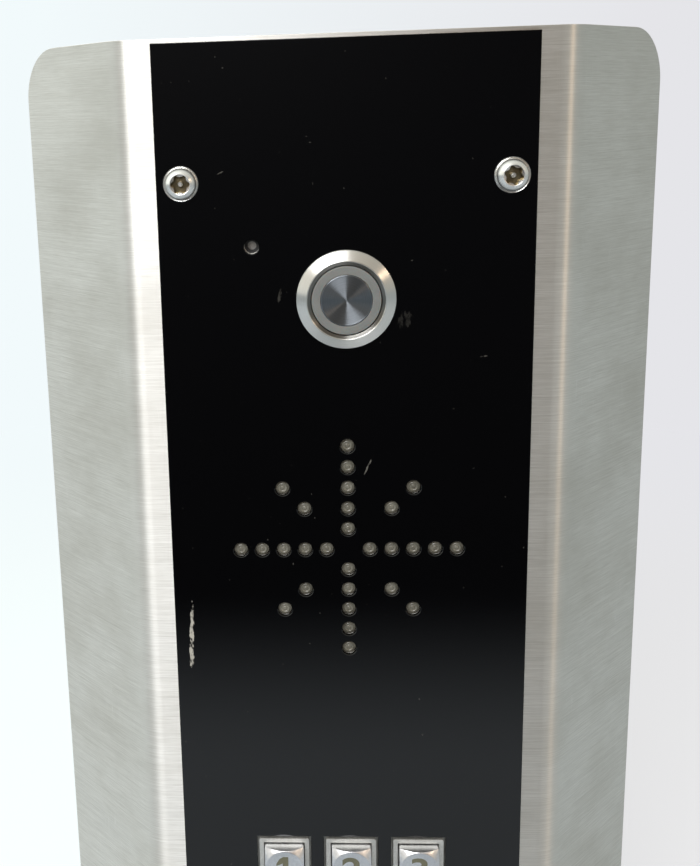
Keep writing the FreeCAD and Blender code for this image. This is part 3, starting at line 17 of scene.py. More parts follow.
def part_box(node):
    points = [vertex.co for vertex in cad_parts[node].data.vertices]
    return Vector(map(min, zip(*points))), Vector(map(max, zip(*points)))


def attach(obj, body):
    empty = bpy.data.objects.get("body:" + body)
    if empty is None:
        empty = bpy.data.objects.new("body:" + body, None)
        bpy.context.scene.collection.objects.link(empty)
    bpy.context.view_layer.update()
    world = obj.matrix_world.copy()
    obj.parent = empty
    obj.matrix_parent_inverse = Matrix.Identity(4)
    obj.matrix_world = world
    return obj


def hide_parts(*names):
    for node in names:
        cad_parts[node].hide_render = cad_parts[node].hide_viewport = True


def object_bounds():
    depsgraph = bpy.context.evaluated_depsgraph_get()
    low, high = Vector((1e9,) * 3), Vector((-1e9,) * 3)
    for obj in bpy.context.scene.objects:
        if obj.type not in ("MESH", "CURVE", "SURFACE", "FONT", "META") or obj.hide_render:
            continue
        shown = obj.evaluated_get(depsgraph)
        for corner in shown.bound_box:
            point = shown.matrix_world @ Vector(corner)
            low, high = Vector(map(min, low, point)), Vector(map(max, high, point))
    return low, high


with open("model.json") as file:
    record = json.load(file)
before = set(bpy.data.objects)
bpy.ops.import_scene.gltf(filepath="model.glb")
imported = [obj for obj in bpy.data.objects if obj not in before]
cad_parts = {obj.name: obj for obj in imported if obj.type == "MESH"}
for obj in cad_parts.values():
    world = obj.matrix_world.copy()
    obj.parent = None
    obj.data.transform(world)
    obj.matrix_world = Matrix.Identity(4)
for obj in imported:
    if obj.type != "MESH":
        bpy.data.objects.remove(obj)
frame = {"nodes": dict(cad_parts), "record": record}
cad_box = [list(corner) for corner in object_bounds()]
scene = bpy.context.scene
print("box of the packed model, m:", cad_box)

# %% [markdown]
# ## The camera
# The photograph was taken close to the panel, a little above its middle and slightly from the left. The three
# directions and the place below come from matching the panel's edges, screws, button and holes to it. The
# picture is a part of a larger frame, so the lens is shifted a little instead of turned.

# %% Camera
MM = 0.001
PICTURE_LONG_SIDE = 866
SENSOR = 36.0
FOCAL_PIXELS = 1071.163

camera_data = bpy.data.cameras.new("photo_camera")
camera_data.sensor_width = SENSOR
camera_data.lens = FOCAL_PIXELS * SENSOR / PICTURE_LONG_SIDE
camera_data.shift_x = 0.1386
camera_data.shift_y = -0.1106
camera_data.clip_start = 0.01
camera = bpy.data.objects.new("photo_camera", camera_data)
scene.collection.objects.link(camera)
camera_right = Vector((0.99797507, 0.05536553, -0.03131152))
camera_up = Vector((0.0192052, 0.20700735, 0.97815087))
camera_back = camera_right.cross(camera_up)
camera_turn = Matrix((camera_right, camera_up, camera_back)).transposed()
camera_place = Vector((-11.421, -261.978, 127.740)) * MM
camera.matrix_world = Matrix.Translation(camera_place) @ camera_turn.to_4x4()
scene.camera = camera
scene.view_settings.view_transform = "Standard"
print("lens %.2f mm" % camera_data.lens)

# %% [markdown]
# ## Colours and nodes
# Colours are written as they look on a screen, and one function turns them into the linear values that light
# is worked out with. Another adds a node with its settings and links, so each material below reads as a
# short list of what it is made of.

# %% Helpers for materials


def linear(code, strength=1.0):
    """Linear colour of a screen colour such as "c4c5c0"."""
    channels = [int(code[start:start + 2], 16) / 255 for start in (0, 2, 4)]
    curved = [c / 12.92 if c <= 0.04045 else ((c + 0.055) / 1.055) ** 2.4 for c in channels]
    return tuple(c * strength for c in curved) + (1.0,)


def feed(tree, node, inputs):
    """Set inputs to numbers, colours or outputs; a node stands for its first live output."""
    for socket, value in inputs.items():
        if isinstance(value, bpy.types.Node):
            value = next(output for output in value.outputs if output.enabled)
        if isinstance(value, bpy.types.NodeSocket):
            tree.links.new(value, node.inputs[socket])
        else:
            node.inputs[socket].default_value = value


def add(tree, kind, inputs=None, **settings):
    """Add a shader node of this kind, with its settings and inputs."""
    made = tree.nodes.new("ShaderNode" + kind)
    for name, value in settings.items():
        setattr(made, name, value)
    feed(tree, made, inputs or {})
    return made


def empty_tree(owner):
    """Cleared node tree of a material or world."""
    owner.use_nodes = True
    owner.node_tree.nodes.clear()
    return owner.node_tree


def new_material(name, **constants):
    """Empty material with one shader, whose constant inputs are set on its own sockets."""
    material = bpy.data.materials.new(name)
    tree = empty_tree(material)
    shader = add(tree, "BsdfPrincipled", {
        socket.replace("_", " "): value for socket, value in constants.items()})
    add(tree, "OutputMaterial", {"Surface": shader})
    return material, tree, shader


def grain(tree, size, detail=3.0, turned=(0, 0, 0)):
    """Soft random pattern; its blots have this size in millimetres, one for all or along X, Y and Z."""
    sides = size if isinstance(size, tuple) else (size, size, size)
    spaced = add(tree, "Mapping", {
        "Vector": add(tree, "TexCoord").outputs["Object"],
        "Rotation": [math.radians(angle) for angle in turned],
        "Scale": [1 / (side * MM) for side in sides],
    })
    return add(tree, "TexNoise", {"Vector": spaced, "Scale": 1.0, "Detail": detail, "Roughness": 0.6})


# %% [markdown]
# ## Plain finishes
# Most parts inside the case are bought-in parts in zinc-plated steel, moulded plastic, rubber or sleeved
# wire. They differ in colour, shine and the size of their texture, and not in kind, so one function makes
# them all: a fine texture that is felt in the shine and the bump, and broad blots where the material took up
# a little more colour, dust or plating.

# %% Plain finishes by slot
FINE_LOW, FINE_HIGH = 0.35, 0.65  # a noise rarely leaves this range


def plain_finish(name, dark, light, roughness, fine, bump, metallic=0.0, broad=14.0, **constants):
    """Finish with a fine texture and broad blots; both sizes and the bump are in millimetres."""
    material, tree, shader = new_material(name, Metallic=metallic, **constants)
    texture = grain(tree, fine)
    both = add(tree, "Math", {0: texture, 1: grain(tree, broad)}, operation="ADD")
    share = add(tree, "MapRange", {0: both, 1: 2 * FINE_LOW, 2: 2 * FINE_HIGH})
    colour = add(tree, "Mix", {0: share, 6: linear(dark), 7: linear(light)}, data_type="RGBA")
    shine = add(tree, "MapRange", {0: both, 1: 2 * FINE_LOW, 2: 2 * FINE_HIGH,
                                   3: roughness[0], 4: roughness[1]})
    raised = add(tree, "Bump", {"Strength": 1.0, "Distance": bump * MM, "Height": texture})
    feed(tree, shader, {"Base Color": colour, "Roughness": shine, "Normal": raised})
    return material


finishes = {
    # Bright zinc plate over turned steel: thin, slightly blue, with a faint blotch from the bath.
    "zinc_steel": plain_finish("zinc_plate", "9a9c9b", "bfc2c3", (0.28, 0.42), 0.3, 0.004, 1.0, 6.0),
    # Galvanised sheet: zinc crystals a few millimetres wide give it its patchwork of greys.
    "tray_steel": plain_finish("galvanised_sheet", "8e9496", "b9bdbd", (0.35, 0.55), 1.4, 0.004, 1.0, 7.0),
    # Drawn spring wire: lines along the wire from the die, oiled and dark grey.
    "spring_steel": plain_finish("drawn_wire", "77787a", "a5a6a8", (0.25, 0.4), (0.4, 0.1, 0.4), 0.003, 1.0,
                                 4.0),
    # Stamped brass for the blades and standoffs, just dull from handling.
    "brass": plain_finish("stamped_brass", "a8843c", "d6b665", (0.22, 0.38), 0.3, 0.003, 1.0, 3.0),
    # Moulded nitrile rubber: near black with a dull bloom.
    "black_rubber": plain_finish("moulded_rubber", "161617", "2b2b2c", (0.6, 0.8), 0.25, 0.01),
    # Closed-cell foam strip: its skin has pits about half a millimetre wide.
    "seal_foam": plain_finish("cell_foam", "1b1b1c", "3a3a3b", (0.85, 0.95), 0.5, 0.12),
    # Silicone mat: milky, with light passing a little way into it.
    "mat_silicone": plain_finish("milky_silicone", "b9bbb6", "d5d6d1", (0.45, 0.6), 0.6, 0.01,
                                 Subsurface_Weight=0.2, Subsurface_Scale=0.002),
    # Treated paper cone: matted fibres, nearly black.
    "cone_paper": plain_finish("treated_paper", "1e1d1c", "3b3936", (0.8, 0.95), 0.25, 0.05),
    # Sintered ferrite: dark grey ceramic with a fine ground grain.
    "ferrite": plain_finish("ground_ferrite", "2c2c2e", "4a4a4c", (0.5, 0.7), 0.2, 0.01),
    # Moulded ABS and nylon: a fine spark-eroded texture from the mould.
    "black_plastic": plain_finish("textured_abs", "1d1d1f", "303033", (0.42, 0.58), 0.2, 0.012, IOR=1.53),
    "terminal_green": plain_finish("green_nylon", "1c7a3e", "2e9a54", (0.35, 0.5), 0.25, 0.01, IOR=1.53),
    "relay_blue": plain_finish("blue_pbt", "1e4f9e", "2f68bd", (0.3, 0.45), 0.25, 0.01, IOR=1.55),
    "clip_white": plain_finish("white_nylon", "d0cfc8", "e9e8e2", (0.4, 0.55), 0.3, 0.01, IOR=1.53),
    # Shrunk sleeve on the capacitors: smooth, tight and glossy.
    "can_sleeve": plain_finish("shrunk_sleeve", "15161d", "262838", (0.2, 0.32), 0.5, 0.004, IOR=1.54),
    # Lamp bodies: ivory heat-proof plastic.
    "lamp_white": plain_finish("ivory_lamp", "dcd8bd", "f1efdd", (0.18, 0.3), 0.3, 0.003, IOR=1.57),
    # Cable jackets of soft PVC: satin, with a slight ripple.
    "ribbon_grey": plain_finish("ribbon_jacket", "8f9295", "b2b5b8", (0.4, 0.55), (1.3, 9.0, 9.0), 0.04,
                                IOR=1.54),
    "lead_grey": plain_finish("cable_jacket", "3c3d40", "585a5d", (0.42, 0.58), 0.6, 0.015, IOR=1.54),
}
print(len(finishes), "plain finishes")

# %% [markdown]
# ## Brushed stainless steel
# The cover is 304 sheet with a No. 4 finish: an abrasive belt has run along its width and left fine lines
# from side to side. Lines across the height smear every reflection up and down, which is why the flats look
# like soft upright bands. The shader does that by anisotropy, with the smear along the height, and a noise
# stretched along X draws the single lines. Real ones are about 0.05 mm wide; here they are 0.3 mm, so that
# they still show. Wiping has left faint cloudy stains, and use a few fine scratches.

# %% Brushed stainless steel


def brushed_stainless():
    """Steel with lines along X, cloudy stains and a few scratches; the sizes are in millimetres."""
    material, tree, shader = new_material("brushed_stainless_304", Metallic=1.0, Anisotropic=0.93)
    lines = grain(tree, (26.0, 26.0, 0.22), detail=4.0)
    short_lines = grain(tree, (5.0, 5.0, 0.12), detail=2.0)
    clouds = grain(tree, (30.0, 30.0, 22.0), detail=5.0)
    both_lines = add(tree, "Math", {0: lines, 1: short_lines}, operation="ADD")
    tone = add(tree, "MapRange", {0: both_lines, 1: 0.7, 2: 1.3})
    steel = add(tree, "Mix", {0: tone, 6: linear("cfcec8"), 7: linear("ecece8")}, data_type="RGBA")
    stain = add(tree, "MapRange", {0: clouds, 1: 0.42, 2: 0.72, 3: 0.0, 4: 0.35})
    stained = add(tree, "Mix", {0: stain, 6: steel, 7: linear("b3b0a6")}, data_type="RGBA")
    scratched = add(tree, "Mix", {0: fine_scratches(tree), 6: stained, 7: linear("f2f2f0")}, data_type="RGBA")
    rough = add(tree, "MapRange", {0: both_lines, 1: 0.7, 2: 1.3, 3: 0.38, 4: 0.46})
    cloudy = add(tree, "Math", {0: clouds, 1: 0.10, 2: rough}, operation="MULTIPLY_ADD")
    raised = add(tree, "Bump", {"Strength": 0.35, "Distance": 0.006 * MM, "Height": both_lines})
    outward = add(tree, "NewGeometry").outputs["Normal"]
    upward = add(tree, "VectorMath", {0: outward, 1: (1.0, 0.0, 0.0)}, operation="CROSS_PRODUCT")
    feed(tree, shader, {"Base Color": scratched, "Roughness": cloudy, "Normal": raised, "Tangent": upward})
    return material


def fine_scratches(tree):
    """Sparse hairlines in two directions: thin ridges of a stretched noise, kept in a few patches only."""
    total = None
    for turned, where in (((0, 28, 0), 17.0), ((0, -63, 0), 23.0)):
        line = grain(tree, (0.8, 8.0, 24.0), detail=0.0, turned=turned)
        ridge = add(tree, "Math", {0: line, 1: 0.5}, operation="SUBTRACT")
        thin = add(tree, "Math", {0: ridge}, operation="ABSOLUTE")
        near = add(tree, "MapRange", {0: thin, 1: 0.0, 2: 0.008, 3: 0.55, 4: 0.0})
        patch = add(tree, "MapRange", {0: grain(tree, where, 1.0), 1: 0.6, 2: 0.7})
        kept = add(tree, "Math", {0: near, 1: patch}, operation="MULTIPLY")
        total = kept if total is None else add(tree, "Math", {0: total, 1: kept}, operation="MAXIMUM")
    return total


finishes["brushed_stainless"] = brushed_stainless()
print("brushed stainless steel ready")

# %% [markdown]
# ## Turned and spun metal
# The bezel, the centre disc and the screw heads were faced on a lathe, so their lines run in circles. Each
# line throws light outwards and inwards, and a lamp shows as a bright fan that turns as the eye moves. The
# smear therefore follows the radius: the direction from the axis to the point. The disc has been spun with a
# coarser tool than the bezel, and its fans are sharper. The ledge and bore inside the bezel's mouth and the
# screws' recesses get painted shade: a darker colour, set by radius and depth.

# %% Turned metal
low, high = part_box("button_housing")
button_centre, bezel_front = (low + high) / 2, -low.y / MM
BEZEL_MOUTH = 8.6


def turned_metal(name, dark, light, roughness, line_width, anisotropy, centre, recess=None):
    """Metal faced on a lathe about an axis along Y through the centre; the line width is in millimetres.

    With a recess (its radius, the radius of the pin in it, its mouth's distance from the wall and its colour)
    the axis is also mirrored to the other three corners, and the metal turns to that colour in the recess,
    round the pin: painted shade.
    """
    material, tree, shader = new_material(name, Metallic=1.0, Anisotropic=anisotropy)
    coordinates = add(tree, "TexCoord").outputs["Object"]
    axis = add(tree, "CombineXYZ", {0: centre.x, 2: centre.z})
    if recess:
        side = add(tree, "VectorMath", {0: coordinates}, operation="SIGN")
        axis = add(tree, "VectorMath", {0: side, 1: axis}, operation="MULTIPLY")
    offset = add(tree, "VectorMath", {0: coordinates, 1: axis}, operation="SUBTRACT")
    radial = add(tree, "VectorMath", {0: offset, 1: (1.0, 0.0, 1.0)}, operation="MULTIPLY")
    radius = add(tree, "VectorMath", {0: radial}, operation="LENGTH")
    ring = add(tree, "Math", {0: radius, 1: 1 / (line_width * MM)}, operation="MULTIPLY")
    rings = add(tree, "TexNoise", {"W": ring, "Scale": 1.0, "Detail": 2.0}, noise_dimensions="1D")
    colour = add(tree, "Mix", {0: rings, 6: linear(dark), 7: linear(light)}, data_type="RGBA")
    # Painted shade: deeper than the mouth, inside the recess and outside the pin, the metal turns darker.
    if recess:
        reach, pin, mouth, painted_shade_colour = recess
        depth = add(tree, "SeparateXYZ", {0: coordinates}).outputs[1]
        painted_recess_shade = None
        for measure, none, full in ((depth, 0.15 - mouth, 0.6 - mouth), (radius, reach, reach - 0.1),
                                    (radius, pin, pin + 0.15)):
            share = add(tree, "MapRange", {0: measure, 1: none * MM, 2: full * MM})
            painted_recess_shade = share if painted_recess_shade is None else add(tree, "Math", {0: painted_recess_shade, 1: share}, operation="MULTIPLY")
        colour = add(tree, "Mix", {0: painted_recess_shade, 6: colour, 7: linear(painted_shade_colour)}, data_type="RGBA")
    shine = add(tree, "MapRange", {0: rings, 1: FINE_LOW, 2: FINE_HIGH, 3: roughness[0], 4: roughness[1]})
    raised = add(tree, "Bump", {"Strength": 0.3, "Distance": 0.004 * MM, "Height": rings})
    feed(tree, shader, {"Base Color": colour, "Roughness": shine, "Normal": raised, "Tangent": radial})
    return material


# The bezel's ledge and bore get painted shade, a darker grey.
bezel_metal = turned_metal("turned_stainless", "d8d8d2", "f6f6f2", (0.28, 0.38), 0.12, 0.96, button_centre,
                           recess=(BEZEL_MOUTH + 0.04, 0.0, bezel_front + 0.5, "878783"))
finishes["spun_steel"] = turned_metal("spun_disc", "70767b", "92989e", (0.28, 0.35), 0.16, 1.0, button_centre)
finishes["polished_stainless"] = plain_finish(
    "polished_stainless", "cfcfca", "ebebe8", (0.28, 0.38), 0.4, 0.001, 1.0, 5.0)

# %% [markdown]
# ## Chromed die casting
# The keypad frame and the keys are zinc castings with chrome on top. The frame's chrome is satin. Fingers
# have polished the keys, so their dishes and cones mirror the lamps and the dim room more clearly.

# %% Chromed casting
finishes["key_casting"] = plain_finish(
    "satin_chrome_casting", "c8c9c5", "e0e0dc", (0.54, 0.64), 0.6, 0.001, 1.0, 5.0)
key_metal = plain_finish("worn_chrome_key", "cdced1", "e4e5e7", (0.28, 0.36), 0.6, 0.001, 1.0, 5.0)

# %% [markdown]
# ## Frosted light ring
# The ring round the disc is a clear plastic that was blasted to spread the light of the lamps behind it.
# Unlit it looks a flat, slightly warm grey, with a soft sheen and no mirror image.

# %% Frosted light ring
finishes["light_guide"] = plain_finish(
    "frosted_acrylic", "6b6d6b", "767875", (0.5, 0.6), 0.15, 0.004, 0.0, 6.0,
    IOR=1.49, Subsurface_Weight=0.25, Subsurface_Scale=0.001)

# %% [markdown]
# ## Black acrylic
# The facia is cast acrylic sheet, black all through and flame-polished, so it mirrors the room at about four
# parts in a hundred. Years of wiping have left a faint haze in arcs, dust sits on it, and knocks have left
# grey scuffs and one long chip by the left edge. Each mark is a noise that shows only inside a small ellipse
# at its place; there it turns the gloss to a rough, paler surface.

# %% Black acrylic
MARKS = [
    # across, height, half width and half height of a mark in mm, its slant in degrees, and its strength
    (-37.4, 5.0, 1.0, 17.0, 2.0, 1.0),
    (-14.6, 87.6, 0.7, 3.4, 8.0, 0.08),
    (12.9, 81.6, 2.6, 3.6, 20.0, 0.035),
    (4.8, 48.0, 0.4, 4.2, 24.0, 0.25),
    (-27.0, 114.9, 1.5, 0.3, -25.0, 0.15),
    (30.5, 73.0, 1.6, 0.4, -6.0, 0.12),
]


def mark_mask(tree, across, height, half_width, half_height, slant, strength):
    """Broken blot inside an ellipse on the facia, from 0 to its strength."""
    fitted = add(tree, "Mapping", {
        "Vector": add(tree, "TexCoord").outputs["Object"],
        "Location": (across * MM, 0.0, height * MM),
        "Rotation": (0.0, math.radians(slant), 0.0),
        "Scale": (half_width * MM, 1.0, half_height * MM),
    }, vector_type="TEXTURE")
    flat = add(tree, "VectorMath", {0: fitted, 1: (1.0, 0.0, 1.0)}, operation="MULTIPLY")
    reach = add(tree, "VectorMath", {0: flat}, operation="LENGTH")
    inside = add(tree, "MapRange", {0: reach, 1: 1.0, 2: 0.35, 3: 0.0, 4: 0.5})
    broken = grain(tree, (0.7, 0.7, 1.6), detail=4.0)
    both = add(tree, "Math", {0: inside, 1: broken}, operation="ADD")
    return add(tree, "MapRange", {0: both, 1: 0.88, 2: 1.0, 3: 0.0, 4: strength})


def black_acrylic():
    """Gloss black with a hazy shine, specks of dust and the marks; the sizes are in millimetres."""
    material, tree, shader = new_material("black_cast_acrylic", IOR=1.49)
    haze = grain(tree, (45.0, 45.0, 18.0), detail=4.0, turned=(0, 25, 0))
    specks = grain(tree, 0.9, detail=1.0)
    worn = add(tree, "MapRange", {0: specks, 1: 0.80, 2: 0.84, 3: 0.0, 4: 0.12})
    for mark in MARKS:
        worn = add(tree, "Math", {0: worn, 1: mark_mask(tree, *mark)}, operation="MAXIMUM")
    colour = add(tree, "Mix", {0: worn, 6: linear("020203"), 7: linear("a9a69c")}, data_type="RGBA")
    smeared = add(tree, "MapRange", {0: haze, 1: 0.35, 2: 0.7, 3: 0.05, 4: 0.08})
    rough = add(tree, "Math", {0: worn, 1: 0.6, 2: smeared}, operation="MULTIPLY_ADD")
    feed(tree, shader, {"Base Color": colour, "Roughness": rough})
    return material


finishes["black_acrylic"] = black_acrylic()
print("black acrylic with", len(MARKS), "marks")

# %% [markdown]
# ## Circuit boards and dust mesh
# A board is woven glass cloth in resin under a green lacquer, and the weave of about 0.5 mm shows through the
# lacquer as a fine check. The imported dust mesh, whose place the moulded dust seal takes below, is a plain
# weave of polyester thread. Two sets of waves, one across and one up, make both weaves.

# %% Woven finishes
WAVE_UNIT = 0.314  # a wave texture at this scale has one band in a unit of length


def woven_finish(name, dark, light, roughness, thread, bump, **constants):
    """Plain weave of this thread spacing in millimetres, facing the front."""
    material, tree, shader = new_material(name, **constants)
    coordinates = add(tree, "TexCoord").outputs["Object"]
    wave = {"Vector": coordinates, "Scale": WAVE_UNIT / (thread * MM), "Distortion": 0.3, "Detail": 1.0}
    across, along = (add(tree, "TexWave", wave, bands_direction=way).outputs[1] for way in ("X", "Z"))
    woven = add(tree, "Math", {0: across, 1: along}, operation="MAXIMUM")
    toned = add(tree, "Math", {0: woven, 1: grain(tree, 6.0)}, operation="MULTIPLY")
    colour = add(tree, "Mix", {0: toned, 6: linear(dark), 7: linear(light)}, data_type="RGBA")
    shine = add(tree, "MapRange", {0: woven, 1: 0.0, 2: 1.0, 3: roughness[0], 4: roughness[1]})
    raised = add(tree, "Bump", {"Strength": 1.0, "Distance": bump * MM, "Height": woven})
    feed(tree, shader, {"Base Color": colour, "Roughness": shine, "Normal": raised})
    return material


finishes["board_green"] = woven_finish(
    "lacquered_glass_board", "0f5a33", "1d8049", (0.22, 0.3), 0.5, 0.004, IOR=1.53)
finishes["mesh_cloth"] = woven_finish(
    "polyester_dust_mesh", "8f8c7f", "efece0", (0.7, 0.85), 0.45, 0.12, IOR=1.57)

# %% [markdown]
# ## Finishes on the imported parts
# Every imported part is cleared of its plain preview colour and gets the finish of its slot. Most of them stay
# hidden inside the case, yet each has its real finish, so the panel can also be shown open.

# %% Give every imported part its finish
slot_of = {part["node"]: part["material_slot"] for part in frame["record"]["subparts"]}
for name, packed in frame["nodes"].items():
    packed.data.materials.clear()
    packed.data.materials.append(finishes[slot_of[name]])
print(len(slot_of), "packed parts have a finish")

# %% [markdown]
# ## Making a piece
# Each new piece is built in a bmesh, in metres and in its place on the panel, and then becomes an object that
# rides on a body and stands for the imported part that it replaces. Its shading is smooth except across real
# edges, and large flats keep their own direction, so that a mirror-like face stays flat.

# %% Helpers for pieces


def finish_piece(bm, name, body, replaced, slot, material=None, sharp=40.0):
    """Turn a bmesh into an object; without a material of its own it gets the finish of its slot."""
    bmesh.ops.remove_doubles(bm, verts=bm.verts, dist=1e-6)
    mesh = bpy.data.meshes.new(name)
    bm.to_mesh(mesh)
    bm.free()
    mesh.shade_smooth()
    mesh.set_sharp_from_angle(angle=math.radians(sharp))
    mesh.materials.append(material or finishes[slot])
    piece = bpy.data.objects.new(name, mesh)
    scene.collection.objects.link(piece)
    even = piece.modifiers.new("even_flats", "WEIGHTED_NORMAL")
    even.keep_sharp = True
    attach(piece, body)
    if replaced:
        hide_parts(replaced)
    print(name, len(mesh.polygons), "faces")


def point_outwards(bm):
    """Merge doubled corners, then turn every face outwards."""
    bmesh.ops.remove_doubles(bm, verts=bm.verts, dist=1e-6)
    bmesh.ops.recalc_face_normals(bm, faces=bm.faces)


def soften(bm, width, sharper_than=30.0, segments=2, wanted=None):
    """Round every edge that is sharper than an angle, by a width in millimetres."""
    edges = [edge for edge in bm.edges
             if len(edge.link_faces) == 2 and edge.calc_face_angle(0) > math.radians(sharper_than)
             and (wanted is None or wanted(edge))]
    bmesh.ops.bevel(bm, geom=edges, offset=width * MM, segments=segments, profile=0.5, affect="EDGES",
                    material=-1, clamp_overlap=True)


def lathe(bm, centre, outline, steps=96):
    """Turn a closed outline of (radius, distance from the wall) about an axis along Y through the centre."""
    points = [bm.verts.new((centre.x + radius * MM, -front * MM, centre.z)) for radius, front in outline]
    edges = [bm.edges.new((point, after)) for point, after in zip(points, points[1:] + points[:1])
             if abs(point.co.x - centre.x) > 1e-9 or abs(after.co.x - centre.x) > 1e-9]
    bmesh.ops.spin(bm, geom=points + edges, cent=(centre.x, 0, centre.z), axis=(0, 1, 0),
                   angle=2 * math.pi, steps=steps, use_merge=True)
    point_outwards(bm)


def bar(bm, centre, sections, sides=48):
    """Closed bar along Y through sections of (distance from the wall, radius or half side)."""
    unit = math.sqrt(2) if sides == 4 else 1.0
    turn = math.radians(45) if sides == 4 else 0.0
    first_front, first_reach = sections[0]
    spot = Matrix.Translation((centre.x, -first_front * MM, centre.z))
    stand = spot @ Matrix.Rotation(math.radians(90), 4, "X") @ Matrix.Rotation(turn, 4, "Z")
    ring = bmesh.ops.create_circle(bm, cap_ends=True, radius=first_reach * unit * MM, segments=sides,
                                   matrix=stand)
    made = list(ring["verts"])
    end = [face for face in bm.faces if set(face.verts) == set(made)]
    for step, ((front, reach), (last_front, last_reach)) in enumerate(zip(sections[1:], sections)):
        grown = bmesh.ops.extrude_face_region(bm, geom=end)["geom"]
        if step:
            bmesh.ops.delete(bm, geom=[face for face in end if face.is_valid], context="FACES_ONLY")
        corners = [item for item in grown if isinstance(item, bmesh.types.BMVert)]
        end = [item for item in grown if isinstance(item, bmesh.types.BMFace)]
        bmesh.ops.translate(bm, verts=corners, vec=(0, (last_front - front) * MM, 0))
        share = reach / last_reach
        bmesh.ops.scale(bm, verts=corners, vec=(share, 1, share),
                        space=Matrix.Translation((-centre.x, 0, -centre.z)))
        made += corners
    return made


def carve(bm, tool, operation="DIFFERENCE"):
    """Cut a bmesh with another, or keep what they share, by an exact Boolean; both are used up."""
    pair = []
    for part in (bm, tool):
        point_outwards(part)
        mesh = bpy.data.meshes.new("carving")
        part.to_mesh(mesh)
        part.free()
        pair.append(bpy.data.objects.new("carving", mesh))
        scene.collection.objects.link(pair[-1])
    cutter = pair[0].modifiers.new("carving", "BOOLEAN")
    cutter.operation = operation
    cutter.solver = "EXACT"
    cutter.object = pair[1]
    graph = bpy.context.evaluated_depsgraph_get()
    result = bmesh.new()
    result.from_mesh(bpy.data.meshes.new_from_object(pair[0].evaluated_get(graph)))
    for done in pair:
        bpy.data.objects.remove(done)
    return result


# %% [markdown]
# ## The openings
# Cover and facia share their openings: four screw holes, the call button's hole, the microphone's, the
# pattern of sound holes and twelve key windows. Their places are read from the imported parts. The tool that
# cuts them flares at the front, and so leaves the tiny chamfer that catches the light on each rim.

# %% Places and openings
SCREW_HEAD = 7.7
SCREW_HOLE, BUTTON_HOLE, MIC_HOLE, WINDOW = 4.5, 19.2, 3.3, 13.3
SOUND_HOLE, SOUND_HOLE_BEHIND, HOLE_PITCH = 3.5, 4.0, 5.0
FLARE = 0.1
KEY_NAMES = ["key_" + name for name in ("1", "2", "3", "4", "5", "6", "7", "8", "9", "star", "0", "hash")]


def middle(node):
    """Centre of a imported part's box, in metres."""
    low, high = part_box(node)
    return (low + high) / 2


low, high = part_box("security_screws")
reach = Vector((high.x - SCREW_HEAD / 2 * MM, 0, high.z - SCREW_HEAD / 2 * MM))
screw_places = [Vector((side * reach.x, 0, up * reach.z)) for up in (1, -1) for side in (-1, 1)]
mic_place, speaker_place = middle("microphone"), middle("speaker_mesh")
arm = [(step, 0) for step in range(1, 6)] + [(0, step) for step in range(1, 6)]
arm += [(step, step) for step in (2, 3)] + [(step, -step) for step in (2, 3)]
sound_places = [speaker_place + Vector((side * across, 0, side * up)) * HOLE_PITCH * MM
                for across, up in arm for side in (1, -1)]


def openings(back, front, sound_hole):
    """Tool for every opening, from behind the sheet to in front of it, with a flare at the rim."""
    tool = bmesh.new()
    rims = [(place, SCREW_HOLE / 2, 48) for place in screw_places]
    rims += [(button_centre, BUTTON_HOLE / 2, 96), (mic_place, MIC_HOLE / 2, 48)]
    rims += [(place, sound_hole / 2, 40) for place in sound_places]
    rims += [(middle(name), WINDOW / 2, 4) for name in KEY_NAMES]
    for place, half, sides in rims:
        bar(tool, place, [(back - 1, half), (front - FLARE, half), (front + 1, half + FLARE + 1)], sides)
    return tool


print(len(sound_places), "sound holes; call button at z = %.1f mm" % (button_centre.z / MM))

# %% [markdown]
# ## The folded cover
# The real cover is cut flat from 1.5 mm sheet by a laser, corners and holes together, and then folded by 45
# degrees along two lines in a press. The model is made in the same order: a flat blank with columns of
# vertices where the folds will be, its corners rounded, its edges broken, its holes cut, and only then bent.
# Bending keeps the length of the outer skin, as wrapping a strip round a rod does.

# %% Folded cover
SHEET, FLAT_HALF, BEND_RADIUS, WING_CORNER = 1.5, 45.272, 9.0, 12.0
FOLD_STEPS, CORNER_STEPS = 14, 14
FOLD_ANGLE = math.radians(45)
low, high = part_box("front_plate")
panel_front, panel_top = -low.y / MM, high.z / MM
bend_length = BEND_RADIUS * FOLD_ANGLE
wing_start = panel_front - BEND_RADIUS * (1 - math.cos(FOLD_ANGLE))
wing_length = (wing_start - SHEET * math.cos(FOLD_ANGLE)) / math.sin(FOLD_ANGLE)
blank_half = FLAT_HALF + bend_length + wing_length


def flat_blank():
    """Sheet that lies in the plane of the cover's flat, with a column of edges at each step of the folds."""
    bm = bmesh.new()
    turns = [FLAT_HALF + bend_length * step / FOLD_STEPS for step in range(FOLD_STEPS + 1)] + [blank_half]
    columns = [-place for place in reversed(turns)] + turns
    bmesh.ops.create_grid(bm, x_segments=len(columns) - 1, y_segments=1, size=1)
    for vert in bm.verts:
        step = round((vert.co.x + 1) / 2 * (len(columns) - 1))
        vert.co = Vector((columns[step], -panel_front, vert.co.y * panel_top)) * MM
    corners = [vert for vert in bm.verts if len(vert.link_edges) == 2]
    bmesh.ops.bevel(bm, geom=corners, offset=WING_CORNER * MM, segments=CORNER_STEPS, profile=0.5,
                    affect="VERTICES", material=-1)
    back = bmesh.ops.extrude_face_region(bm, geom=list(bm.faces), use_keep_orig=True)["geom"]
    bmesh.ops.translate(bm, verts=[item for item in back if isinstance(item, bmesh.types.BMVert)],
                        vec=(0, SHEET * MM, 0))
    point_outwards(bm)
    soften(bm, 0.18, sharper_than=60.0)
    return bm


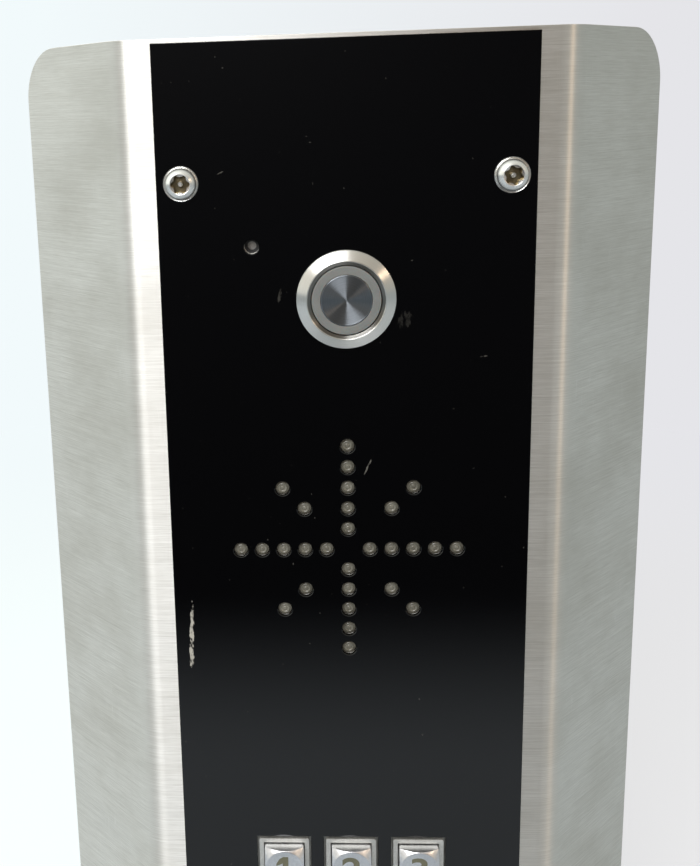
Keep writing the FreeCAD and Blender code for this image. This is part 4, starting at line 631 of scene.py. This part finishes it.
def fold(bm):
    """Bend the flat sheet round both folds; the outer skin keeps its length."""
    for vert in bm.verts:
        along, depth = abs(vert.co.x) / MM, vert.co.y / MM + panel_front
        if along <= FLAT_HALF:
            continue
        turn = min((along - FLAT_HALF) / BEND_RADIUS, FOLD_ANGLE)
        rest = max(along - FLAT_HALF - bend_length, 0.0)
        radius = BEND_RADIUS - depth
        across = FLAT_HALF + radius * math.sin(turn) + rest * math.cos(FOLD_ANGLE)
        front = panel_front - BEND_RADIUS + radius * math.cos(turn) - rest * math.sin(FOLD_ANGLE)
        vert.co = Vector((math.copysign(across, vert.co.x), -front, vert.co.z / MM)) * MM


cover = carve(flat_blank(), openings(panel_front - SHEET, panel_front, SOUND_HOLE_BEHIND))
fold(cover)
finish_piece(cover, "cover_sheet", "root", "front_plate", "brushed_stainless", sharp=35.0)
print("flat size of the cover: %.1f x %.1f mm" % (2 * blank_half, 2 * panel_top))

# %% [markdown]
# ## The facia
# The facia is 1 mm acrylic, laser cut. The cut leaves a clean, slightly rounded edge, which shows in the
# light as a hairline round the sheet and round each opening.

# %% Facia
low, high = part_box("facia")
facia_front = -low.y / MM
facia_sheet = bmesh.new()
bmesh.ops.create_cube(facia_sheet, size=1, matrix=Matrix.Translation((low + high) / 2) @ Matrix.Diagonal(
    (*(high - low), 1)))
soften(facia_sheet, 0.12)
facia_sheet = carve(facia_sheet, openings(panel_front, facia_front, SOUND_HOLE))
finish_piece(facia_sheet, "acrylic_facia", "root", "facia", "black_acrylic", sharp=35.0)

# %% [markdown]
# ## The dust seal in the sound holes
# Each sound hole is filled by a small grey bulge that gleams along its upper side. A thin moulded sheet lies
# between the cover and the loudspeaker, and a hollow pip of it stands in each hole: sound passes through its
# soft skin, dust and water do not. A pip is a short round wall with a shallow stepped dome.

# %% Dust seal
low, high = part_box("speaker_mesh")
PIP, PIP_DROP = 1.6, 0.75
seal_front, seal_half = -low.y / MM, (high.x - low.x) / 2 / MM
pip_top = facia_front - PIP_DROP
pip = [(0, seal_front - 0.1), (PIP, seal_front - 0.1), (PIP, pip_top - 0.55), (1.5, pip_top - 0.32),
       (1.32, pip_top - 0.3), (1.16, pip_top - 0.08), (0.98, pip_top), (0.82, pip_top - 0.16),
       (0.55, pip_top - 0.2), (0.4, pip_top - 0.05), (0.2, pip_top), (0, pip_top - 0.02)]
seal = bmesh.new()
bar(seal, speaker_place, [(-high.y / MM, seal_half), (seal_front, seal_half)], 96)
for place in sound_places:
    lathe(seal, place, pip, 24)
seal_skin = plain_finish(
    "moulded_dust_seal", "55534a", "79776c", (0.14, 0.26), 0.5, 0.02, 0.0, 5.0, IOR=1.45)
finish_piece(seal, "dust_seal", "root", "speaker_mesh", "mesh_cloth", seal_skin, sharp=50.0)

# %% [markdown]
# ## Security screws
# They are M4 button heads with a six-lobe recess and a pin in its middle, which keeps an ordinary driver out.
# The head is turned: an outer rim, a groove, then the dome. The recess is pressed in. Its outline is a circle
# whose radius swells six times round, and it narrows slightly towards its floor.

# %% Security screws
HEAD_HEIGHT, SHANK, SHANK_LENGTH = 2.2, 4.0, 12.0
RECESS_MEAN, RECESS_SWING, RECESS_DEPTH, PIN = 1.83, 0.24, 1.4, 1.1
SCREW_TURNS = (0.0, 17.0, 41.0, 8.0)


def make_screw(place, turn):
    """One screw as a bmesh, with its recess turned by an angle in degrees."""
    top, tip = facia_front + HEAD_HEIGHT, facia_front - SHANK_LENGTH
    dome = [(3.5 * math.cos(math.radians(a)), facia_front + 0.45 + 2.25 * math.sin(math.radians(a)))
            for a in range(0, 52, 6)]
    head = bmesh.new()
    shank = [(0, tip + 0.4), (SHANK / 2 - 0.4, tip), (SHANK / 2, tip + 0.4), (SHANK / 2, facia_front)]
    edge = SCREW_HEAD / 2
    rim = [(edge - 0.1, facia_front), (edge, facia_front + 0.1), (edge, facia_front + 0.4),
           (edge - 0.1, facia_front + 0.55), (edge - 0.25, facia_front + 0.5)]
    lathe(head, place, shank + rim + dome + [(2.24, top - 0.02), (2.1, top - 0.06), (0, top - 0.06)], 72)
    # The recess is a bar about 1 mm round, whose rim is then moved out to the six-lobe curve
    recess = bmesh.new()
    made = bar(recess, place, [(top - RECESS_DEPTH, 0.93), (top - 0.3, 1.0), (top + 0.5, 1.12)], 96)
    for vert in made:
        across, up = vert.co.x - place.x, vert.co.z - place.z
        angle = math.atan2(up, across) + math.radians(turn)
        size = RECESS_MEAN + RECESS_SWING * math.cos(6 * angle)
        vert.co = Vector((place.x + across * size, vert.co.y, place.z + up * size))
    head = carve(head, recess)
    pin = [(top - RECESS_DEPTH - 0.2, PIN / 2), (top - 0.55, PIN / 2), (top - 0.4, PIN / 2 - 0.15)]
    bar(head, place, pin, 24)
    return head


screws = bmesh.new()
for place, turn in zip(screw_places, SCREW_TURNS):
    one = make_screw(place, turn)
    point_outwards(one)
    mesh = bpy.data.meshes.new("screw")
    one.to_mesh(mesh)
    one.free()
    screws.from_mesh(mesh)
    bpy.data.meshes.remove(mesh)
# The screws' recesses get painted shade in an olive-brown; the pin stays bright.
screw_metal = turned_metal(
    "turned_screw_head", "dadbd8", "f2f2ef", (0.24, 0.34), 0.14, 0.5, screw_places[1],
    recess=(2.3, PIN / 2 - 0.1, facia_front + HEAD_HEIGHT, "857b62"))
finish_piece(screws, "screw_heads", "root", "security_screws", "polished_stainless", screw_metal, sharp=30.0)

# %% [markdown]
# ## The call button
# It is a 19 mm vandal-proof push button in stainless steel. The bezel is turned from bar, with a bevel
# outside and a narrow ledge inside the mouth. Its outline is half of a cut through the button's axis.

# %% Call button bezel
BEZEL, THREAD, REAR_BORE, BORE = 11.0, 9.4, 8.5, 7.9
SHOULDER, BUTTON_LENGTH = 5.0, 12.0
BUTTON_STEPS = 128
rear = facia_front - BUTTON_LENGTH
bezel = bmesh.new()
lathe(bezel, button_centre, [
    (REAR_BORE, rear), (THREAD, rear), (THREAD, facia_front), (9.9, facia_front),
    (9.9, facia_front + 0.6), (10.6, facia_front + 0.6), (10.6, facia_front), (BEZEL, facia_front),
    (BEZEL, bezel_front - 1.35), (BEZEL - 0.1, bezel_front - 1.2), (BEZEL_MOUTH + 0.2, bezel_front),
    (BEZEL_MOUTH + 0.06, bezel_front - 0.02), (BEZEL_MOUTH, bezel_front - 0.16), (BORE, bezel_front - 0.2),
    (BORE, bezel_front - SHOULDER), (REAR_BORE, bezel_front - SHOULDER)], BUTTON_STEPS)
soften(bezel, 0.08, sharper_than=28.0)
finish_piece(bezel, "button_bezel", "root", "button_housing", "polished_stainless", bezel_metal)

# %% [markdown]
# ## The ring and the disc
# A frosted ring and a spun disc move together in the bezel. The ring is the front of a hollow plunger with a
# flange that stops behind the bezel's shoulder. The disc is pressed into it, has a fine raised rim, and falls
# slightly towards its centre.

# %% Ring and disc
RING, DISC, CAVITY, FLANGE_REACH = 7.7, 5.7, 5.2, 8.3
DISC_THICK, WEB, REST_GAP, FLANGE_THICK = 0.8, 1.2, 0.1, 1.0
ring_front = -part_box("button_plunger")[0].y / MM
disc_back, flange_front = ring_front - DISC_THICK, bezel_front - SHOULDER - REST_GAP
plunger = bmesh.new()
lathe(plunger, button_centre, [
    (0, disc_back - WEB), (CAVITY, disc_back - WEB), (CAVITY, flange_front - FLANGE_THICK),
    (FLANGE_REACH, flange_front - FLANGE_THICK), (FLANGE_REACH, flange_front), (RING, flange_front),
    (RING, ring_front - 0.25), (RING - 0.1, ring_front - 0.07), (RING - 0.28, ring_front),
    (DISC + 0.2, ring_front), (DISC + 0.06, ring_front - 0.05), (DISC + 0.05, disc_back), (0, disc_back)],
    BUTTON_STEPS)
finish_piece(plunger, "light_ring", "call_button", "button_plunger", "light_guide", sharp=50.0)

disc = bmesh.new()
lathe(disc, button_centre, [
    (0, disc_back), (DISC, disc_back), (DISC, ring_front - 0.1), (DISC - 0.1, ring_front),
    (DISC - 0.35, ring_front), (DISC - 0.45, ring_front - 0.06), (0.35, ring_front - 0.16),
    (0, ring_front - 0.14)], BUTTON_STEPS)
finish_piece(disc, "spun_disc", "call_button", "button_disc", "spun_steel", sharp=60.0)

# %% [markdown]
# ## The keypad frame
# One zinc casting carries all twelve keys. Behind the cover it is a plate with a stepped well for each key;
# in front of it only the collars show, square rings with rounded corners that stand a little proud of the
# facia. The plate and collars are one shell, and the wells are cut through them from the back.

# %% Keypad frame
COLLAR, COLLAR_CORNER, OPENING, WELL = 12.3, 0.5, 10.04, 12.0
FRAME_THICK, FRAME_CORNER, WELL_DEPTH = 4.0, 1.5, 2.6
low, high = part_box("keypad_frame")
collar_front, frame_back = -low.y / MM, -high.y / MM


def upright(edge):
    """An edge along Y, such as the corner of a bar."""
    return abs((edge.verts[0].co - edge.verts[1].co).normalized().y) > 0.99


casting = bmesh.new()
size = Vector((high.x - low.x, FRAME_THICK * MM, high.z - low.z))
centre = Vector((0, -(frame_back + FRAME_THICK / 2) * MM, (low.z + high.z) / 2))
bmesh.ops.create_cube(casting, size=1, matrix=Matrix.Translation(centre) @ Matrix.Diagonal((*size, 1)))
soften(casting, FRAME_CORNER, wanted=upright, segments=4)
collars, wells = bmesh.new(), bmesh.new()
for name in KEY_NAMES:
    place = middle(name)
    bar(collars, place, [(frame_back + 1, COLLAR / 2), (collar_front, COLLAR / 2)], 4)
    bar(wells, place, [(frame_back - 1, WELL / 2), (frame_back + WELL_DEPTH, WELL / 2)], 4)
    bar(wells, place, [(frame_back + WELL_DEPTH - 0.5, OPENING / 2), (collar_front + 1, OPENING / 2)], 4)
point_outwards(collars)
soften(collars, COLLAR_CORNER, wanted=upright, segments=5)
casting = carve(casting, collars, "UNION")
casting = carve(casting, wells)
soften(casting, 0.12, sharper_than=50.0)
finish_piece(casting, "keypad_casting", "root", "keypad_frame", "key_casting")

# %% [markdown]
# ## The keys
# Each key is a square bar whose top is turned to a blunt cone, with a shallow round dish for the fingertip.
# The cone meets the square sides in arcs, and leaves a small triangle low in each corner. That is a square
# and a lathe shape at once, so the key is what the two have in common. The dish is part of a sphere.

# %% Keys
KEY, KEY_CORNER, FLANGE, FLANGE_HEIGHT = 9.6, 0.35, 11.6, 1.0
CONE_START, CONE_END, CONE_SLOPE = 4.7, 9.0, math.tan(math.radians(38.0))
DISH, DISH_DEPTH, DISH_STEPS = 9.1, 0.4, 8
DISH_RADIUS = ((DISH / 2) ** 2 + DISH_DEPTH ** 2) / (2 * DISH_DEPTH)
low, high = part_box("key_1")
key_front, key_back = -low.y / MM, -high.y / MM


def dish_level(radius):
    """Distance of the dish from the wall, this far from the key's axis."""
    return key_front - DISH_DEPTH + DISH_RADIUS - math.sqrt(DISH_RADIUS ** 2 - radius ** 2)


def make_key(name):
    """One key: what a square bar with a flange and a turned cone with a dish have in common."""
    place = middle(name)
    square = bmesh.new()
    bar(square, place, [(key_back, FLANGE / 2), (key_back + FLANGE_HEIGHT, FLANGE / 2)], 4)
    bar(square, place, [(key_back + 0.5, KEY / 2), (key_front + 1, KEY / 2)], 4)
    point_outwards(square)
    soften(square, KEY_CORNER, wanted=upright, segments=4)
    reaches = [DISH / 2 * step / DISH_STEPS for step in range(DISH_STEPS, -1, -1)]
    cone_foot = key_front - (CONE_END - CONE_START) * CONE_SLOPE
    turned = bmesh.new()
    lathe(turned, place, [(0, key_back - 1), (CONE_END, key_back - 1), (CONE_END, cone_foot),
                          (CONE_START, key_front - 0.02), (CONE_START - 0.1, key_front)]
          + [(reach, dish_level(reach)) for reach in reaches], 96)
    key = carve(square, turned, "INTERSECT")
    soften(key, 0.07, sharper_than=24.0)
    finish_piece(key, name + "_cap_metal", name + "_cap", name, "key_casting", key_metal, sharp=22.0)


for name in KEY_NAMES:
    make_key(name)

# %% [markdown]
# ## The characters
# Each character is cut into the dish and filled with a grey-green resin that lets the lamps shine through.
# The fill lies level with the dish. It starts as flat lettering, is sliced finely so that it can bend, and
# each corner then moves onto the dish before the sheet gets its thickness. Plain digits, a star and a hash
# are used on every such keypad. The 1 has its own outline: a broad stem with a flag and no foot.

# %% Characters on the keys
resin = plain_finish("filled_resin", "565644", "6d6c56", (0.35, 0.5), 0.2, 0.004, 0.0, 3.0, IOR=1.5)
CHARACTER_HEIGHT, CHARACTER_WIDTH, STAR_HEIGHT, CHARACTER_STRETCH = 6.2, 5.4, 4.2, 1.2
FILL_PROUD, FILL_DEPTH, SLICE, SLICES = 0.02, 0.12, 0.4, 7
LETTERS = {"key_star": "*", "key_hash": "#"}
ONE = [(-0.3, 3.1), (0.95, 3.1), (0.95, -3.1), (-0.45, -3.1), (-0.45, 1.15), (-2.0, 0.5), (-2.0, 1.1),
       (-1.2, 2.5)]


def flat_character(letter):
    """Outline of a character as a filled face, in millimetres about its own centre, upright in X and Z."""
    if letter == "1":
        bm = bmesh.new()
        points = [bm.verts.new((across, 0, up)) for across, up in ONE]
        edges = [bm.edges.new(pair) for pair in zip(points, points[1:] + points[:1])]
        bmesh.ops.triangle_fill(bm, use_beauty=True, edges=edges)
        return bm
    words = bpy.data.curves.new("character", "FONT")
    words.body = letter
    words.size = 8.0  # any size will do, as it is scaled below
    words.offset = 0.2  # a bolder stroke
    words.resolution_u = 6
    written = bpy.data.objects.new("character", words)
    scene.collection.objects.link(written)
    graph = bpy.context.evaluated_depsgraph_get()
    bm = bmesh.new()
    bm.from_mesh(bpy.data.meshes.new_from_object(written.evaluated_get(graph)))
    bpy.data.objects.remove(written)
    bmesh.ops.remove_doubles(bm, verts=bm.verts, dist=1e-3)
    ends = [(min(row), max(row)) for row in zip(*(vert.co.xy for vert in bm.verts))]
    wide, tall = (last - first for first, last in ends)
    share = min(CHARACTER_HEIGHT / tall, CHARACTER_WIDTH / wide / CHARACTER_STRETCH)
    if letter == "*":
        share = STAR_HEIGHT / tall
    centre = Vector([(first + last) / 2 for first, last in ends] + [0])
    bm.transform(Matrix.Rotation(math.radians(90), 4, "X") @ Matrix.Diagonal(
        (share * CHARACTER_STRETCH, share, share, 1)) @ Matrix.Translation(-centre))
    return bm


def make_character(name):
    """Resin fill of one key's character, bent onto the dish; it rides with its key."""
    place = middle(name)
    fill = flat_character(LETTERS.get(name, name[-1]))
    for normal in ((1, 0, 0), (0, 0, 1)):
        for step in range(-SLICES, SLICES + 1):
            whole = list(fill.verts) + list(fill.edges) + list(fill.faces)
            bmesh.ops.bisect_plane(fill, geom=whole, dist=1e-5, plane_co=Vector(normal) * step * SLICE,
                                   plane_no=normal)
    for vert in fill.verts:
        front = dish_level(math.hypot(vert.co.x, vert.co.z)) + FILL_PROUD
        vert.co = Vector((place.x + vert.co.x * MM, -front * MM, place.z + vert.co.z * MM))
    behind = bmesh.ops.extrude_face_region(fill, geom=list(fill.faces), use_keep_orig=True)["geom"]
    bmesh.ops.translate(fill, verts=[item for item in behind if isinstance(item, bmesh.types.BMVert)],
                        vec=(0, FILL_DEPTH * MM, 0))
    point_outwards(fill)
    finish_piece(fill, name + "_character", name + "_cap", None, "key_casting", resin)


for name in KEY_NAMES:
    make_character(name)

# %% [markdown]
# ## The stage
# A real panel hangs on a pale wall in a dim room, with a window at the upper left behind the viewer. Here it
# stands on a pale floor before a pale background. A leaning black card, which only reflections see, is the
# dim room that the facia mirrors; the strip of floor before the card is the pale patch low in the facia. The
# card fades in from its foot, so the patch has a soft edge.

# %% Floor and card
# The backdrop's two colours carry painted shade: brighter and cooler on the left, greyer on the right.
LEFT_PALE, RIGHT_PALE, FLOOR_MIRRORED = "f2fafc", "e5e5e9", "b0b7bf"
FLOOR_HALF = 12.0
# Y and Z of the card's foot and head, and the Y from which it is solid
CARD_FOOT, CARD_HEAD, CARD_SOLID = (-0.19, cad_box[0][2]), (-0.82, 0.23), -0.27
CARD_FOOT_SIDES, CARD_HEAD_SIDES = (-0.09, 0.105), (-0.17, 0.245)


def pale_with_painted_shade(tree, direction):
    """Background colour by direction from the panel, with painted shade: cool on the left, greyer on the right.
    """
    across = add(tree, "SeparateXYZ", {0: direction}).outputs[0]
    side = add(tree, "MapRange", {0: across, 1: -0.22, 2: 0.3})
    return add(tree, "Mix", {0: side, 6: linear(LEFT_PALE), 7: linear(RIGHT_PALE)}, data_type="RGBA")


def flat_stage(name, corners, material):
    """Flat sheet of the stage through four corners, in metres."""
    bm = bmesh.new()
    bmesh.ops.contextual_create(bm, geom=[bm.verts.new(corner) for corner in corners])
    mesh = bpy.data.meshes.new(name)
    bm.to_mesh(mesh)
    bm.free()
    mesh.materials.append(material)
    sheet = bpy.data.objects.new(name, mesh)
    scene.collection.objects.link(sheet)
    return sheet


def floor_material():
    """Pale floor: near the panel it is half its own light and half lit paint, so it keeps the shadow."""
    material = bpy.data.materials.new("pale_floor")
    tree = empty_tree(material)
    coordinates = add(tree, "TexCoord").outputs["Object"]
    direction = add(tree, "VectorMath", {0: coordinates}, operation="NORMALIZE")
    pale = pale_with_painted_shade(tree, direction)
    seen = add(tree, "LightPath").outputs["Is Camera Ray"]
    paint = add(tree, "Mix", {0: seen, 6: linear(FLOOR_MIRRORED), 7: pale}, data_type="RGBA")
    lit = add(tree, "BsdfDiffuse", {"Color": paint})
    glow = add(tree, "Emission", {"Color": pale, "Strength": 1.0})
    distance = add(tree, "VectorMath", {0: coordinates}, operation="LENGTH")
    own = add(tree, "MapRange", {0: distance, 1: 0.2, 2: 0.7, 3: 0.5, 4: 1.0},
              interpolation_type="SMOOTHSTEP")
    share = add(tree, "Math", {0: seen, 1: own}, operation="MULTIPLY")
    mixed = add(tree, "MixShader", {0: share, 1: lit, 2: glow})
    add(tree, "OutputMaterial", {"Surface": mixed})
    return material


def card_material():
    """Black cloth of uneven depth that fades in from the card's foot."""
    material, tree, shader = new_material("black_card", Roughness=0.9)
    folds = grain(tree, (400, 400, 300))
    tone = add(tree, "Mix", {0: folds, 6: linear("050507"), 7: linear("0d0e11")}, data_type="RGBA")
    coordinates = add(tree, "TexCoord").outputs["Object"]
    from_foot = add(tree, "SeparateXYZ", {0: coordinates}).outputs[1]
    solid = add(tree, "MapRange", {0: from_foot, 1: CARD_FOOT[0], 2: CARD_SOLID},
                interpolation_type="SMOOTHSTEP")
    feed(tree, shader, {"Base Color": tone, "Alpha": solid})
    return material


corners = [(across * FLOOR_HALF, along * FLOOR_HALF, CARD_FOOT[1])
           for across, along in ((-1, -1), (-1, 1), (1, 1), (1, -1))]
flat_stage("floor", corners, floor_material())
corners = [(side, *CARD_FOOT) for side in CARD_FOOT_SIDES]
corners += [(side, *CARD_HEAD) for side in reversed(CARD_HEAD_SIDES)]
card = flat_stage("black_card", corners, card_material())
card.visible_camera = False
card.visible_diffuse = False
card.visible_shadow = False

# %% [markdown]
# ## The room's light
# Seen directly, the background is pale, with painted shade: a little brighter and cooler on the left, greyer
# on the right. Everything else sees a room that is bright on the window's side, dimmer on the other, and a warm
# tan straight behind the viewer, which the right flat mirrors.

# %% World
world = bpy.data.worlds.new("pale_room")
scene.world = world
sky = empty_tree(world)
direction = add(sky, "TexCoord").outputs["Generated"]
way = add(sky, "SeparateXYZ", {0: direction})
room_side = add(sky, "MapRange", {0: way.outputs[0], 1: -0.8, 2: 0.8})
room = add(sky, "Mix", {0: room_side, 6: linear("f2f4ee", 1.52), 7: linear("e6e8e0", 0.72)}, data_type="RGBA")
ahead = add(sky, "MapRange", {0: way.outputs[1], 1: -0.92, 2: -0.4})
dimmed = add(sky, "Mix", {0: ahead, 6: linear("cbae94", 0.72), 7: room}, data_type="RGBA")
seen = add(sky, "LightPath").outputs["Is Camera Ray"]
final = add(sky, "Mix", {0: seen, 6: dimmed, 7: pale_with_painted_shade(sky, direction)}, data_type="RGBA")
background = add(sky, "Background", {"Color": final, "Strength": 1.0})
add(sky, "OutputWorld", {"Surface": background})

# %% [markdown]
# ## The lamps
# The window is a wide soft lamp above the card on the left. It lights the left flat through its upright
# smear, a sector of the bezel and a wedge of the disc. A small warm lamp on the right stands for another
# light in the room: it gives the warm patch on the bezel and the streak along the right fold.

# %% Lamps


def soft_lamp(name, azimuth, elevation, distance, size, power, colour):
    """Soft lamp that faces the panel; azimuth is from straight ahead, towards +X, in degrees."""
    data = bpy.data.lights.new(name, "AREA")
    data.shape = "RECTANGLE"
    data.size, data.size_y = size
    data.energy = power
    data.color = linear(colour)[:3]
    lamp = bpy.data.objects.new(name, data)
    turn, lift = math.radians(azimuth), math.radians(elevation)
    ahead, up = math.cos(lift), math.sin(lift)
    lamp.location = Vector((math.sin(turn) * ahead, -math.cos(turn) * ahead, up)) * distance
    lamp.rotation_euler = (-lamp.location).to_track_quat("-Z", "Y").to_euler()
    scene.collection.objects.link(lamp)


soft_lamp("window_light", -17.0, 34.0, 1.1, (0.66, 0.36), 8.2, "fdfdff")
soft_lamp("side_light", 50.0, 22.0, 1.1, (0.08, 0.14), 0.8, "f3d3b4")
print("stage and light ready")

# %% [markdown]
# ## Last step
# Once every piece is in place, the view layer is brought up to date. The dressed panel has to stay inside the
# imported model's box.

# %% Bring the view layer up to date
bpy.context.view_layer.update()
